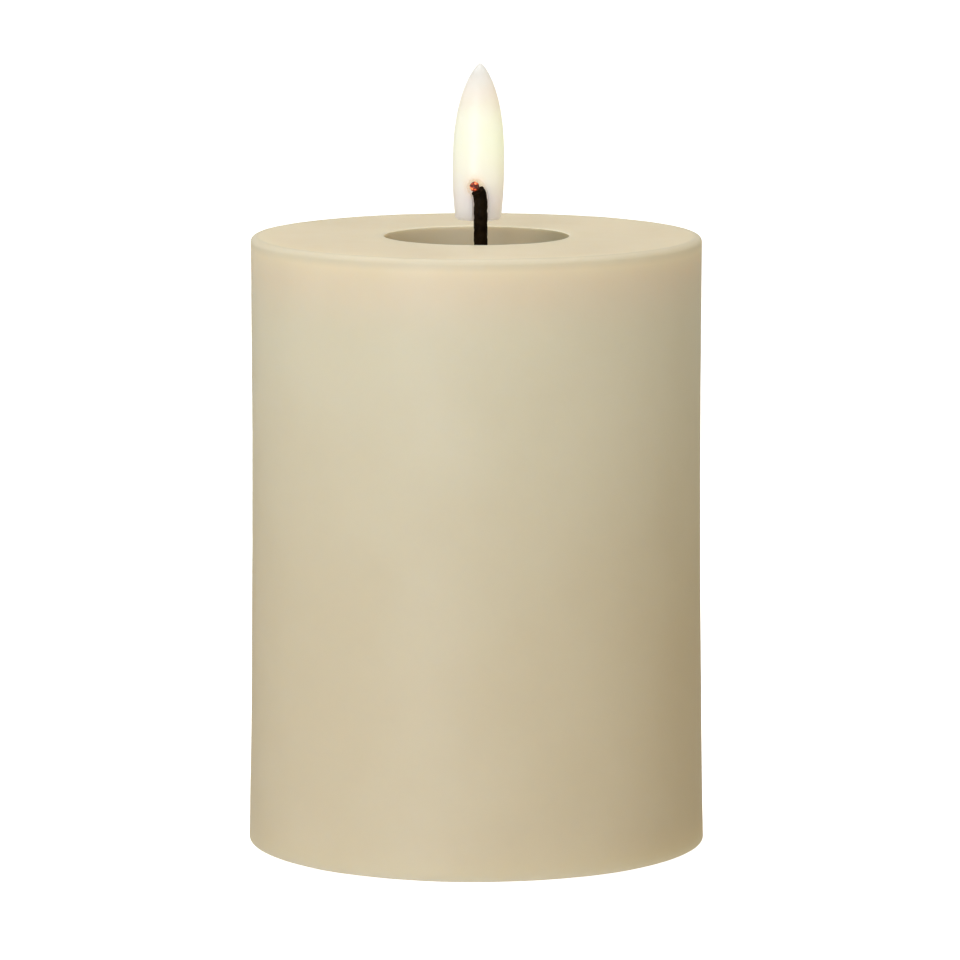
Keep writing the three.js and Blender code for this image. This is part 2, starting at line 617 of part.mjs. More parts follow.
/** A flame-shaped solid set in by a wall thickness, from a foot height up to its tip, leaning a little to +X. */
function flameBody(inset, footZ, footRound) {
  const tip = FLAME_TIP_Z - 1.9 * inset;
  const rows = 14;
  const start = footZ + footRound;
  const profile = [[0, footZ]];
  const footRadius = flameRadius(start) - inset;
  profile.push(...arc(footRadius - footRound, start, footRound, -90, 0, footRound > 0 ? 3 : 1));
  for (let i = 1; i < rows; i += 1) {
    const share = Math.sin((i / rows) * (Math.PI / 2));
    const z = start + (tip - start) * share;
    profile.push([Math.max(flameRadius(z) - inset * (1 - 0.6 * share ** 6), 0.12), z]);
  }
  profile.push([0, tip]);
  const points = profile.map(([radius, z]) => new THREE.Vector2(radius, z));
  const geometry = new THREE.LatheGeometry(points, 28).rotateX(Math.PI / 2);
  const position = geometry.getAttribute("position");
  for (let i = 0; i < position.count; i += 1) {
    const rise = (position.getZ(i) - FLAME_FOOT_Z) / (FLAME_TIP_Z - FLAME_FOOT_Z);
    position.setX(i, position.getX(i) + FLAME_LEAN * rise ** 2);
  }
  return solid(geometry.translate(FLAME_X, FLAME_Y, 0));
}

/** The wick's own path, made fatter, from below the flame to past the ember. */
function wickChannel(radius) {
  const end = pastWick(0.6);
  const past = new THREE.SphereGeometry(radius + 0.1, 12, 8).translate(end.x, end.y, end.z);
  return join(swept(wickCurve(FLAME_FOOT_Z - 5), radius, 3, 12), solid(past));
}

function flameShell() {
  const outer = flameBody(0, FLAME_FOOT_Z, 0.6);
  const inner = flameBody(FLAME_WALL, FLAME_FOOT_Z - 1, 0);
  const channelWall = wickChannel(GROOVE_RADIUS + 0.7).intersect(outer);
  return cut(join(cut(outer, inner), channelWall), wickChannel(GROOVE_RADIUS), leadPort());
}

function flamePlug() {
  const plug = flameBody(FLAME_WALL + GAP, FLAME_FOOT_Z + 0.2, 0).intersect(
    block(-10, 10, -10, 10, FLAME_FOOT_Z, FLAME_FOOT_Z + 1.7),
  );
  return cut(plug, wickChannel(GROOVE_RADIUS + 1));
}

function lightStrip() {
  return block(FLAME_X - 1, FLAME_X + 1, FLAME_Y, FLAME_Y + GAP, FLAME_FOOT_Z + 2.1, 118.6);
}

function lightEmitter(z) {
  const face = FLAME_Y - 0.2;
  return join(
    block(FLAME_X - 0.8, FLAME_X + 0.8, face - 0.4, face, z - 0.5, z + 0.5),
    block(FLAME_X - 0.55, FLAME_X + 0.55, face - 0.65, face - 0.3, z - 0.4, z + 0.4),
  );
}

// ---------------------------------------------------------------- wires
/** A light lead: from its board pad, over the bay, up the column and the wick, to the light strip. side is -1 or 1. */
function lightLead(side) {
  const x = WICK_X + side * LEAD_OFFSET;
  const curve = new PointCurve([
    [1.2 + side * 1.2, 26.2, BOARD_TOP_Z + 0.2],
    [1.2 + side * 1.2, 26.1, 14],
    [1.2 + side * 0.9, 23, 20],
    [1 + side * 0.6, 14, 22.4],
    [0.8 + side * 0.5, 4, 22.8],
    [x, -1, 24.6],
    [x, WICK_Y, 29],
    [x, WICK_Y, 88],
    [x, WICK_Y, 104.2],
    [x, WICK_Y + 0.15, 105.1],
    [x, WICK_Y + 0.75, PORT_Z - 0.05],
    [x, WICK_Y + 1.6, PORT_Z],
    [x, FLAME_Y - 0.25, PORT_Z],
  ]);
  return swept(curve, LEAD_RADIUS, 3, 6);
}

/** An insulated wire from a battery contact's tab, round the bay's corner, to a pad on the board. */
function batteryWire(tabY, sweepX, padX) {
  const curve = new PointCurve([
    [-27.1, tabY, TAB_TOP_Z - 1],
    [-25.2, tabY + 1.2, TAB_TOP_Z - 0.6],
    [sweepX, 10.5, TAB_TOP_Z],
    [sweepX + 2.4, 17.5, 21.4],
    [padX - 3, 23.8, 16.5],
    [padX, 26.2, 12.8],
    [padX, 26.2, BOARD_TOP_Z + 0.2],
  ]);
  return swept(curve, 0.6, 4, 8);
}

// ---------------------------------------------------------------- assembly
place("wax_shell", waxShell(), WAX);
place("well_cup", wellCup(), SAND_PLASTIC);
place("base_plate", basePlate(), IVORY_PLASTIC);
place("battery_door", batteryDoor(), IVORY_PLASTIC);
place("battery_bay", batteryBay(), IVORY_PLASTIC);
place("support_column", supportColumn(), IVORY_PLASTIC);

const nubEnd = CONTACT_BACK_X - CONTACT_THICKNESS - DOME_HEIGHT - 0.15;
place("battery_cell_front", cell(-1, -nubEnd, -CELL_Y), CELL_WRAP);
place("battery_cell_rear", cell(1, nubEnd, CELL_Y), CELL_WRAP);

const positive = join(cellPlate(-1, -CELL_Y), contactDome(-1, -CELL_Y), contactTab(-CELL_Y));
const negative = join(cellPlate(-1, CELL_Y), contactSpring(-1, CELL_Y), contactTab(CELL_Y));
const bridgeEnd = CELL_Y + CONTACT_HALF_WIDTH;
const bridge = join(contactPlate(1, -bridgeEnd, bridgeEnd), contactDome(1, CELL_Y), contactSpring(1, -CELL_Y));
place("contact_positive", positive, SPRING_STEEL);
place("contact_negative", negative, SPRING_STEEL);
place("contact_bridge", bridge, SPRING_STEEL);

place("switch_body", switchBody(), BLACK_PLASTIC);
place("switch_slider", switchSlider(), BLACK_PLASTIC);
place("switch_knob", switchKnob(), BLACK_PLASTIC);
place("control_board", controlBoard(), BOARD_GREEN);
place("timer_chip", timerChip(), BLACK_PLASTIC);
place("timing_crystal", timingCrystal(), SPRING_STEEL);
place("smoothing_capacitor", smoothingCapacitor(), BLACK_PLASTIC);

const baseScrew = { headRadius: 2, headHeight: 1.2, shankRadius: 1.05, shankLength: 9 };
const boardScrew = { headRadius: 1.8, headHeight: 1, shankRadius: 0.85, shankLength: 5.6 };
const columnScrew = { headRadius: 1.8, headHeight: 1, shankRadius: 0.85, shankLength: 6.5 };
for (const [sideName, sx] of [["left", -1], ["right", 1]]) {
  for (const [endName, sy] of [["front", -1], ["rear", 1]]) {
    const seated = screw(sx * BASE_SCREW_X, sy * BASE_SCREW_Y, 2.75, -1, baseScrew);
    place(`base_screw_${endName}_${sideName}`, seated, SCREW_STEEL);
  }
  const onBoard = screw(sx * BOARD_SCREW_X, SWITCH_Y, BOARD_TOP_Z + 0.25, 1, boardScrew);
  place(`board_screw_${sideName}`, onBoard, SCREW_STEEL);
  const onColumn = screw(sx * COLUMN_SCREW_X, 0, COLUMN_FOOT_Z + 2.25, 1, columnScrew);
  place(`column_screw_${sideName}`, onColumn, SCREW_STEEL);
}

place("battery_wire_positive", batteryWire(-CELL_Y, -17.5, -4.6), RED_WIRE);
place("battery_wire_negative", batteryWire(CELL_Y, -22, -9), BLACK_WIRE);
place("light_lead_positive", lightLead(-1), RED_WIRE);
place("light_lead_negative", lightLead(1), BLACK_WIRE);

place("wick_sleeve", wickSleeve(), WICK_BLACK);
place("wick_ember", wickEmber(), EMBER);
place("flame_shell", flameShell(), FLAME_WHITE);
place("flame_plug", flamePlug(), FLAME_WHITE);
place("light_strip", lightStrip(), FLAME_WHITE);
place("light_emitter_lower", lightEmitter(112), EMITTER);
place("light_emitter_upper", lightEmitter(117), EMITTER);

export default candle;
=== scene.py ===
"""The looks of a flameless pillar candle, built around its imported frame.

Metres throughout, with +Z up and -Y at the front; sizes in the classes are in millimetres.
Each new piece stands where the CAD node that it replaces stands, and rides on that node's body.
"""

import logging
import math
from collections.abc import Callable, Iterable, Mapping, Sequence
from dataclasses import dataclass, field, replace
from enum import Enum
from functools import lru_cache
from itertools import pairwise
from typing import Any

import bmesh
import bpy
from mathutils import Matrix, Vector


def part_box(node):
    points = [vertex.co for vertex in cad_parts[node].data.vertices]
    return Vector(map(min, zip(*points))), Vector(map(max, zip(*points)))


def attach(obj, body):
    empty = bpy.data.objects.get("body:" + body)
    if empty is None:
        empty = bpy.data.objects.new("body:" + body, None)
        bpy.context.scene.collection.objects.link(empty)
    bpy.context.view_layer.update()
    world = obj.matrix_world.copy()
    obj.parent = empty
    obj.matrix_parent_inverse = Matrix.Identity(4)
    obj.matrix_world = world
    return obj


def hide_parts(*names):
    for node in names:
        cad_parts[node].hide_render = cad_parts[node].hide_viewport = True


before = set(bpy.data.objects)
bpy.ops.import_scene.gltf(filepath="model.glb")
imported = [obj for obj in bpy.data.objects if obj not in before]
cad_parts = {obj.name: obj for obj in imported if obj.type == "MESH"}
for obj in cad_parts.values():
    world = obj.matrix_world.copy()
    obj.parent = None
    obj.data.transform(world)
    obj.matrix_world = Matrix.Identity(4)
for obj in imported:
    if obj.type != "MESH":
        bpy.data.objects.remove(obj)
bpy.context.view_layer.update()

MM = 0.001
WELD = 1e-6
log = logging.getLogger("candle")

Point = tuple[float, float]
Place = tuple[float, float, float]
Colour = tuple[float, float, float]
Stops = tuple[tuple[float, Colour], ...]
Output = bpy.types.NodeSocket


class Body(Enum):
    """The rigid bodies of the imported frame."""

    CANDLE = "candle_body"
    DOOR = "battery_door_leaf"
    SWITCH = "switch_carriage"


class Carve(Enum):
    """How one solid changes another."""

    CUT = "DIFFERENCE"
    JOIN = "UNION"


# ------------------------------------------------------------------ modelling bench


def put_down() -> None:
    """Leave edit mode, deselect everything and go back to picking single vertices."""
    if bpy.context.object and bpy.context.object.mode != "OBJECT":
        bpy.ops.object.mode_set(mode="OBJECT")
    bpy.ops.object.select_all(action="DESELECT")
    bpy.context.tool_settings.mesh_select_mode = (True, False, False)


def hold(piece: bpy.types.Object) -> bpy.types.Object:
    """Select one object alone and make it active.

    Args:
        piece: The object to work on.

    Returns:
        The same object.
    """
    put_down()
    piece.select_set(True)
    bpy.context.view_layer.objects.active = piece
    return piece


def fresh(name: str) -> bpy.types.Object:
    """Leave edit mode and name the object that was just added.

    Args:
        name: The name of the piece and of its mesh.

    Returns:
        The named object.
    """
    if bpy.context.object.mode != "OBJECT":
        bpy.ops.object.mode_set(mode="OBJECT")
    piece = bpy.context.object
    piece.name = name
    piece.data.name = name
    return piece


def settle(piece: bpy.types.Object) -> bpy.types.Object:
    """Take an object's own place, turn and scale into its mesh, and leave it selected at the origin.

    Args:
        piece: The object.

    Returns:
        The same object.
    """
    hold(piece)
    bpy.ops.object.transform_apply(location=True, rotation=True, scale=True)
    return piece


def aim(piece: bpy.types.Object, direction: Vector, axis: str) -> None:
    """Turn an object so that one of its axes looks along a direction.

    Args:
        piece: The object.
        direction: The direction.
        axis: The axis, with its sign.
    """
    piece.rotation_mode = "QUATERNION"
    piece.rotation_quaternion = direction.to_track_quat(axis, "Y")


def edit(piece: bpy.types.Object, kind: str) -> bmesh.types.BMesh:
    """Enter edit mode with nothing selected.

    Args:
        piece: The piece that is worked on.
        kind: What is to be picked: VERT, EDGE or FACE.

    Returns:
        The piece's mesh, ready for picking.
    """
    hold(piece)
    bpy.ops.object.mode_set(mode="EDIT")
    bpy.ops.mesh.select_mode(type=kind)
    bpy.ops.mesh.select_all(action="DESELECT")
    return bmesh.from_edit_mesh(piece.data)


def close_up() -> None:
    """In edit mode, join doubled vertices and turn the faces outwards."""
    bpy.ops.mesh.select_all(action="SELECT")
    bpy.ops.mesh.remove_doubles(threshold=WELD)
    bpy.ops.mesh.normals_make_consistent(inside=False)


def arc(centre: Point, radius: float, start: float, end: float, steps: int) -> list[Point]:
    """Points of a round on a profile.

    Args:
        centre: Distance from the axis and height of the round's centre.
        radius: Radius of the round.
        start: Angle of the first point in degrees.
        end: Angle of the last point in degrees.
        steps: Number of steps between them.

    Returns:
        The points, both ends included.
    """
    turns = [math.radians(start + (end - start) * i / steps) for i in range(steps + 1)]
    return [(centre[0] + radius * math.cos(t), centre[1] + radius * math.sin(t)) for t in turns]


def rise(start: Point, end: Point, steps: int) -> list[Point]:
    """Evenly spaced points on a straight line of a profile, both ends left out.

    Args:
        start: First end of the line.
        end: Last end of the line.
        steps: Number of steps between the ends.

    Returns:
        The points between the ends.
    """
    shares = [i / steps for i in range(1, steps)]
    return [(start[0] + (end[0] - start[0]) * s, start[1] + (end[1] - start[1]) * s) for s in shares]


def spun(name: str, profile: Sequence[Point], steps: int, centre: Place = (0, 0, 0)) -> bpy.types.Object:
    """Model a round piece by spinning a profile about an upright axis.

    Args:
        name: Name of the piece.
        profile: Distance from the axis and height of each point. A closed profile ends where it starts,
            an open one starts and ends on the axis.
        steps: Number of sides.
        centre: Where the axis and the heights' zero stand.

    Returns:
        The piece, closed, with its faces outwards.
    """
    put_down()
    bpy.ops.mesh.primitive_plane_add(size=MM, enter_editmode=True)
    bpy.ops.mesh.merge(type="CENTER")
    bpy.ops.transform.translate(value=(profile[0][0] * MM, 0, profile[0][1] * MM))
    for (r0, z0), (r1, z1) in pairwise(profile):
        move = {"value": ((r1 - r0) * MM, 0, (z1 - z0) * MM)}
        bpy.ops.mesh.extrude_vertices_move(TRANSFORM_OT_translate=move)
    bpy.ops.mesh.select_all(action="SELECT")
    bpy.ops.mesh.spin(steps=steps, angle=math.tau, center=(0, 0, 0), axis=(0, 0, 1))
    close_up()
    bpy.ops.transform.translate(value=[c * MM for c in centre])
    return fresh(name)


def block(name: str, low: Place, high: Place) -> bpy.types.Object:
    """A box between two corners, in millimetres.

    Args:
        name: Name of the box.
        low: Its lowest corner.
        high: Its highest corner.

    Returns:
        The box.
    """
    put_down()
    middle = [(a + b) / 2 * MM for a, b in zip(low, high)]
    lengths = [(b - a) * MM for a, b in zip(low, high)]
    bpy.ops.mesh.primitive_cube_add(size=1, location=middle, scale=lengths)
    return fresh(name)


def rod(name: str, radius: float, start: Place, end: Place, sides: int = 32) -> bpy.types.Object:
    """A cylinder from one point to another, in millimetres.

    Args:
        name: Name of the rod.
        radius: Its radius.
        start: The middle of its first end.
        end: The middle of its last end.
        sides: Number of sides.

    Returns:
        The rod.
    """
    put_down()
    a, b = Vector(start) * MM, Vector(end) * MM
    bpy.ops.mesh.primitive_cylinder_add(
        vertices=sides, radius=radius * MM, depth=(b - a).length, location=(a + b) / 2
    )
    piece = fresh(name)
    aim(piece, b - a, "Z")
    return settle(piece)


def path_curve(points: Sequence[Place], bevel: float = 0.0) -> bpy.types.Object:
    """A smooth open curve through points, in millimetres, with a round section if bevel is above zero.

    Args:
        points: The points that it passes.
        bevel: Radius of its section.

    Returns:
        The curve object.
    """
    put_down()
    bpy.ops.curve.primitive_bezier_curve_add()
    curve = bpy.context.object
    curve.data.splines.clear()
    spline = curve.data.splines.new("BEZIER")
    spline.bezier_points.add(len(points) - 1)
    for knot, point in zip(spline.bezier_points, points):
        knot.co = Vector(point) * MM
        knot.handle_left_type = knot.handle_right_type = "AUTO"
    curve.data.dimensions = "3D"
    curve.data.resolution_u = 10
    curve.data.bevel_depth = bevel * MM
    curve.data.bevel_resolution = 5
    curve.data.use_fill_caps = True
    return curve


def tube(name: str, points: Sequence[Place], radius: float) -> bpy.types.Object:
    """A round tube along a smooth path, as a closed mesh.

    Args:
        name: Name of the tube.
        points: The points that it passes, in millimetres.
        radius: Radius of its section.

    Returns:
        The tube.
    """
    hold(path_curve(points, radius))
    bpy.ops.object.convert(target="MESH")
    bpy.ops.object.mode_set(mode="EDIT")
    close_up()
    return fresh(name)


def apply_modifier(piece: bpy.types.Object, kind: str, **settings: Any) -> bpy.types.Object:
    """Put one modifier on a piece and apply it.

    Args:
        piece: The piece that changes.
        kind: The modifier's type.
        settings: The modifier's own settings.

    Returns:
        The same piece.
    """
    hold(piece)
    bpy.ops.object.modifier_add(type=kind)
    modifier = piece.modifiers[-1]
    for key, value in settings.items():
        setattr(modifier, key, value)
    bpy.ops.object.modifier_apply(modifier=modifier.name)
    return piece


def carve(
    piece: bpy.types.Object, tool: bpy.types.Object, how: Carve = Carve.CUT, folded: bool = False
) -> bpy.types.Object:
    """Cut a piece with a tool or join the two; the tool is used up.

    Args:
        piece: The piece that changes.
        tool: The other solid.
        how: What is done with the two.
        folded: Whether one of them runs through itself.

    Returns:
        The changed piece.
    """
    apply_modifier(piece, "BOOLEAN", operation=how.value, object=tool, solver="EXACT", use_self=folded)
    bpy.data.objects.remove(tool, do_unlink=True)
    return piece


def ease_edges(piece: bpy.types.Object, width: float, above: float = 32) -> bpy.types.Object:
    """Round a piece's sharp edges.

    Args:
        piece: The piece that changes.
        width: Width of the rounding in millimetres.
        above: Only edges sharper than this angle in degrees are rounded.

    Returns:
        The same piece.
    """
    angle = math.radians(above)
    return apply_modifier(
        piece, "BEVEL", width=width * MM, segments=2, limit_method="ANGLE", angle_limit=angle
    )


def weather(piece: bpy.types.Object, depth: float, size: float) -> bpy.types.Object:
    """Sink a piece's surface unevenly, as a cast or burnt surface is, without growing it.

    Args:
        piece: The piece that changes.
        depth: The deepest dent in millimetres.
        size: Width of the dents in millimetres.

    Returns:
        The same piece.
    """
    pattern = bpy.data.textures.new(f"{piece.name}_dents", "CLOUDS")
    pattern.noise_scale = size * MM
    pattern.noise_depth = 1
    return apply_modifier(
        piece, "DISPLACE", texture=pattern, texture_coords="LOCAL", strength=-depth * MM, mid_level=0
    )


def pick_faces(piece: bpy.types.Object, test: Callable[[Vector, Vector], bool]) -> None:
    """Enter edit mode and select the faces that pass a test.

    Args:
        piece: The piece that is worked on.
        test: Takes a face's centre in millimetres and its normal.
    """
    mesh = edit(piece, "FACE")
    for face in mesh.faces:
        face.select_set(test(face.calc_center_median() / MM, face.normal))
    bmesh.update_edit_mesh(piece.data)


def pick_vertices(piece: bpy.types.Object, test: Callable[[Vector], bool]) -> None:
    """Enter edit mode and select the vertices that pass a test.

    Args:
        piece: The piece that is worked on.
        test: Takes a vertex's place in millimetres.
    """
    mesh = edit(piece, "VERT")
    for vertex in mesh.verts:
        vertex.select_set(test(vertex.co / MM))
    mesh.select_flush_mode()
    bmesh.update_edit_mesh(piece.data)


def from_node(node: str, name: str) -> bpy.types.Object:
    """A merged copy of a CAD node's mesh, with its flat faces made whole, ready to be refined.

    Args:
        node: The CAD node.
        name: Name of the new piece.

    Returns:
        The copy.
    """
    piece = bpy.data.objects.new(name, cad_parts[node].data.copy())
    piece.data.materials.clear()
    bpy.context.scene.collection.objects.link(piece)
    hold(piece)
    bpy.ops.object.mode_set(mode="EDIT")
    bpy.ops.mesh.select_all(action="SELECT")
    bpy.ops.mesh.remove_doubles(threshold=2 * WELD)
    bpy.ops.mesh.dissolve_limited(angle_limit=math.radians(0.5))
    return fresh(name)


def copy_to(piece: bpy.types.Object, name: str, shift: Vector, turn: float = 0.0) -> bpy.types.Object:
    """A copy of a piece with its own mesh, moved to another place.

    Args:
        piece: The piece to copy.
        name: Name of the copy.
        shift: How far it moves, in metres.
        turn: How far it turns about the upright axis first, in radians.

    Returns:
        The copy.
    """
    hold(piece)
    bpy.ops.object.duplicate(linked=False)
    twin = fresh(name)
    twin.location = shift
    twin.rotation_euler = (0, 0, turn)
    return settle(twin)


def merged(name: str, parts: Iterable[bpy.types.Object]) -> bpy.types.Object:
    """Several objects joined into one piece that keeps each part's own closed surface.

    Args:
        name: Name of the piece.
        parts: The objects to join.

    Returns:
        The joined piece.
    """
    put_down()
    for part in parts:
        part.select_set(True)
        bpy.context.view_layer.objects.active = part
    bpy.ops.object.join()
    return fresh(name)


def place(
    piece: bpy.types.Object,
    body: Body,
    material: bpy.types.Material,
    stands_for: Sequence[str] = (),
    smooth_below: float = 38,
) -> bpy.types.Object:
    """Finish a piece: settle its mesh at the origin, shade it, dress it and fix it to its body.

    Args:
        piece: The finished model.
        body: The body that it rides on.
        material: Its finish.
        stands_for: The CAD nodes that it replaces.
        smooth_below: Edges flatter than this angle in degrees are shaded smooth.

    Returns:
        The same piece.
    """
    settle(piece)
    bpy.ops.object.shade_smooth_by_angle(angle=math.radians(smooth_below))
    piece.data.materials.clear()
    piece.data.materials.append(material)
    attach(piece, body.value)
    if stands_for:
        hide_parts(*stands_for)
    log.info("%s: %d faces on %s", piece.name, len(piece.data.polygons), body.value)
    return piece


def second_finish(
    piece: bpy.types.Object, material: bpy.types.Material, test: Callable[[Vector, Vector], bool]
) -> None:
    """Give the faces of a placed piece that pass a test a second finish.

    Args:
        piece: The piece.
        material: The finish.
        test: Takes a face's centre in millimetres and its normal.
    """
    piece.data.materials.append(material)
    pick_faces(piece, test)
    piece.active_material_index = 1
    bpy.ops.object.material_slot_assign()
    put_down()


# ------------------------------------------------------------------ shader nodes


class Sheet:
    """A shader node tree with short calls to add nodes and join them."""

    def __init__(self, tree: bpy.types.NodeTree) -> None:
        """Work on one tree.

        Args:
            tree: A material's tree, a world's or a group's.
        """
        self.tree = tree

    def add(self, kind: str, inputs: Mapping[Any, Any] | None = None, **settings: Any) -> bpy.types.Node:
        """Add a node.

        Args:
            kind: The node's type, without its ShaderNode prefix.
            inputs: A value or another node's output for each named input; a colour has three numbers.
            settings: The node's own settings.

        Returns:
            The node.
        """
        node = self.tree.nodes.new(kind if kind.startswith("Node") else f"ShaderNode{kind}")
        for key, value in settings.items():
            setattr(node, key, value)
        for key, value in (inputs or {}).items():
            if isinstance(value, Output):
                self.join(value, node.inputs[key])
            else:
                node.inputs[key].default_value = (*value, 1) if node.inputs[key].type == "RGBA" else value
        return node

    def join(self, source: Output, target: Output) -> None:
        """Join an output to an input."""
        self.tree.links.new(source, target)

    def ramp(self, factor: Output, stops: Stops) -> Output:
        """A colour that changes along a mask.

        Args:
            factor: The mask, from 0 to 1.
            stops: Place and colour of each stop, in order.

        Returns:
            The colour.
        """
        node = self.add("ValToRGB", {"Fac": factor})
        elements = node.color_ramp.elements
        while len(elements) < len(stops):
            elements.new(1.0)
        for element, (spot, colour) in zip(elements, stops):
            element.position = spot
            element.color = (*colour, 1)
        return node.outputs["Color"]

    def mix(self, factor: Any, first: Any, second: Any) -> Output:
        """Two colours mixed by a mask.

        Args:
            factor: The mask.
            first: Colour at 0.
            second: Colour at 1.

        Returns:
            The mixed colour.
        """
        return self.add("Mix", {0: factor, 6: first, 7: second}, data_type="RGBA").outputs[2]

    def math(self, operation: str, first: Any, second: Any) -> Output:
        """One arithmetic step.

        Args:
            operation: The node's operation.
            first: First number.
            second: Second number.

        Returns:
            The result.
        """
        return self.add("Math", {0: first, 1: second}, operation=operation).outputs[0]

    def noise(self, vector: Any, scale: Any, detail: float, **more: float) -> Output:
        """A soft noise.

        Args:
            vector: Where it is looked up.
            scale: Its scale.
            detail: How many finer layers it has.
            more: Other inputs of the node.

        Returns:
            Its value, from 0 to 1.
        """
        inputs = {"Vector": vector, "Scale": scale, "Detail": detail, **more}
        return self.add("TexNoise", inputs).outputs["Fac"]

    def spread(
        self, value: Any, low: float, high: float, to_low: Any = 0.0, to_high: Any = 1.0, even: bool = False
    ) -> Output:
        """A number stretched from one span to another and kept inside it.

        Args:
            value: The number.
            low: Start of its span.
            high: End of its span.
            to_low: Result at the start.
            to_high: Result at the end.
            even: Whether it runs straight, not eased at both ends.

        Returns:
            The result.
        """
        inputs = {0: value, 1: low, 2: high, 3: to_low, 4: to_high}
        kind = "LINEAR" if even else "SMOOTHSTEP"
        return self.add("MapRange", inputs, interpolation_type=kind).outputs[0]


def new_group(name: str, inputs: Mapping[str, str], output: str, kind: str) -> tuple[Sheet, Any, Any]:
    """An empty shader node group with named sockets.

    Args:
        name: Name of the group.
        inputs: Type of each input socket.
        output: Name of its one output socket.
        kind: Type of the output socket.

    Returns:
        The group's sheet, the sockets that come in, and the one that goes out.
    """
    tree = bpy.data.node_groups.new(name, "ShaderNodeTree")
    for socket, type_in in inputs.items():
        tree.interface.new_socket(socket, in_out="INPUT", socket_type=f"NodeSocket{type_in}")
    tree.interface.new_socket(output, in_out="OUTPUT", socket_type=f"NodeSocket{kind}")
    sheet = Sheet(tree)
    return sheet, sheet.add("NodeGroupInput").outputs, sheet.add("NodeGroupOutput").inputs[output]


@lru_cache
def mottle_group() -> bpy.types.NodeTree:
    """A shared effect: two close tones that drift into each other in soft clouds.

    Returns:
        The effect's node group.
    """
    inputs = {"Vector": "Vector", "Scale": "Float", "Light": "Color", "Dark": "Color"}
    sheet, given, made = new_group("soft_mottle", inputs, "Color", "Color")
    mask = sheet.spread(sheet.noise(given["Vector"], given["Scale"], 3.0), 0.35, 0.65)
    sheet.join(sheet.mix(mask, given["Light"], given["Dark"]), made)
    return sheet.tree


@lru_cache
def grain_group() -> bpy.types.NodeTree:
    """A shared effect: the height of a fine moulded or cast grain over a broad unevenness.

    Returns:
        The effect's node group.
    """
    inputs = {"Vector": "Vector", "Fine Scale": "Float", "Broad Scale": "Float", "Broad Share": "Float"}
    sheet, given, made = new_group("surface_grain", inputs, "Height", "Float")
    fine = sheet.noise(given["Vector"], given["Fine Scale"], 4.0)
    broad = sheet.noise(given["Vector"], given["Broad Scale"], 2.0)
    sheet.join(sheet.math("ADD", fine, sheet.math("MULTIPLY", broad, given["Broad Share"])), made)
    return sheet.tree


@lru_cache
def wear_group() -> bpy.types.NodeTree:
    """A shared effect: a mask of outer edges rubbed by handling, broken up by noise.

    Returns:
        The effect's node group.
    """
    sheet, given, made = new_group("edge_wear", {"Vector": "Vector", "Scale": "Float"}, "Mask", "Float")
    edges = sheet.spread(sheet.add("NewGeometry").outputs["Pointiness"], 0.51, 0.6)
    broken = sheet.spread(sheet.noise(given["Vector"], given["Scale"], 5.0), 0.35, 0.7)
    sheet.join(sheet.math("MULTIPLY", edges, broken), made)
    return sheet.tree


@lru_cache
def smudge_group() -> bpy.types.NodeTree:
    """A shared effect: a gloss that drifts between two values, as touched surfaces do.

    Returns:
        The effect's node group.
    """
    inputs = {"Vector": "Vector", "Scale": "Float", "Smooth": "Float", "Rough": "Float"}
    sheet, given, made = new_group("handling_smudges", inputs, "Roughness", "Float")
    cloud = sheet.noise(given["Vector"], given["Scale"], 4.0, Distortion=0.6)
    sheet.join(sheet.spread(cloud, 0.3, 0.7, given["Smooth"], given["Rough"]), made)
    return sheet.tree


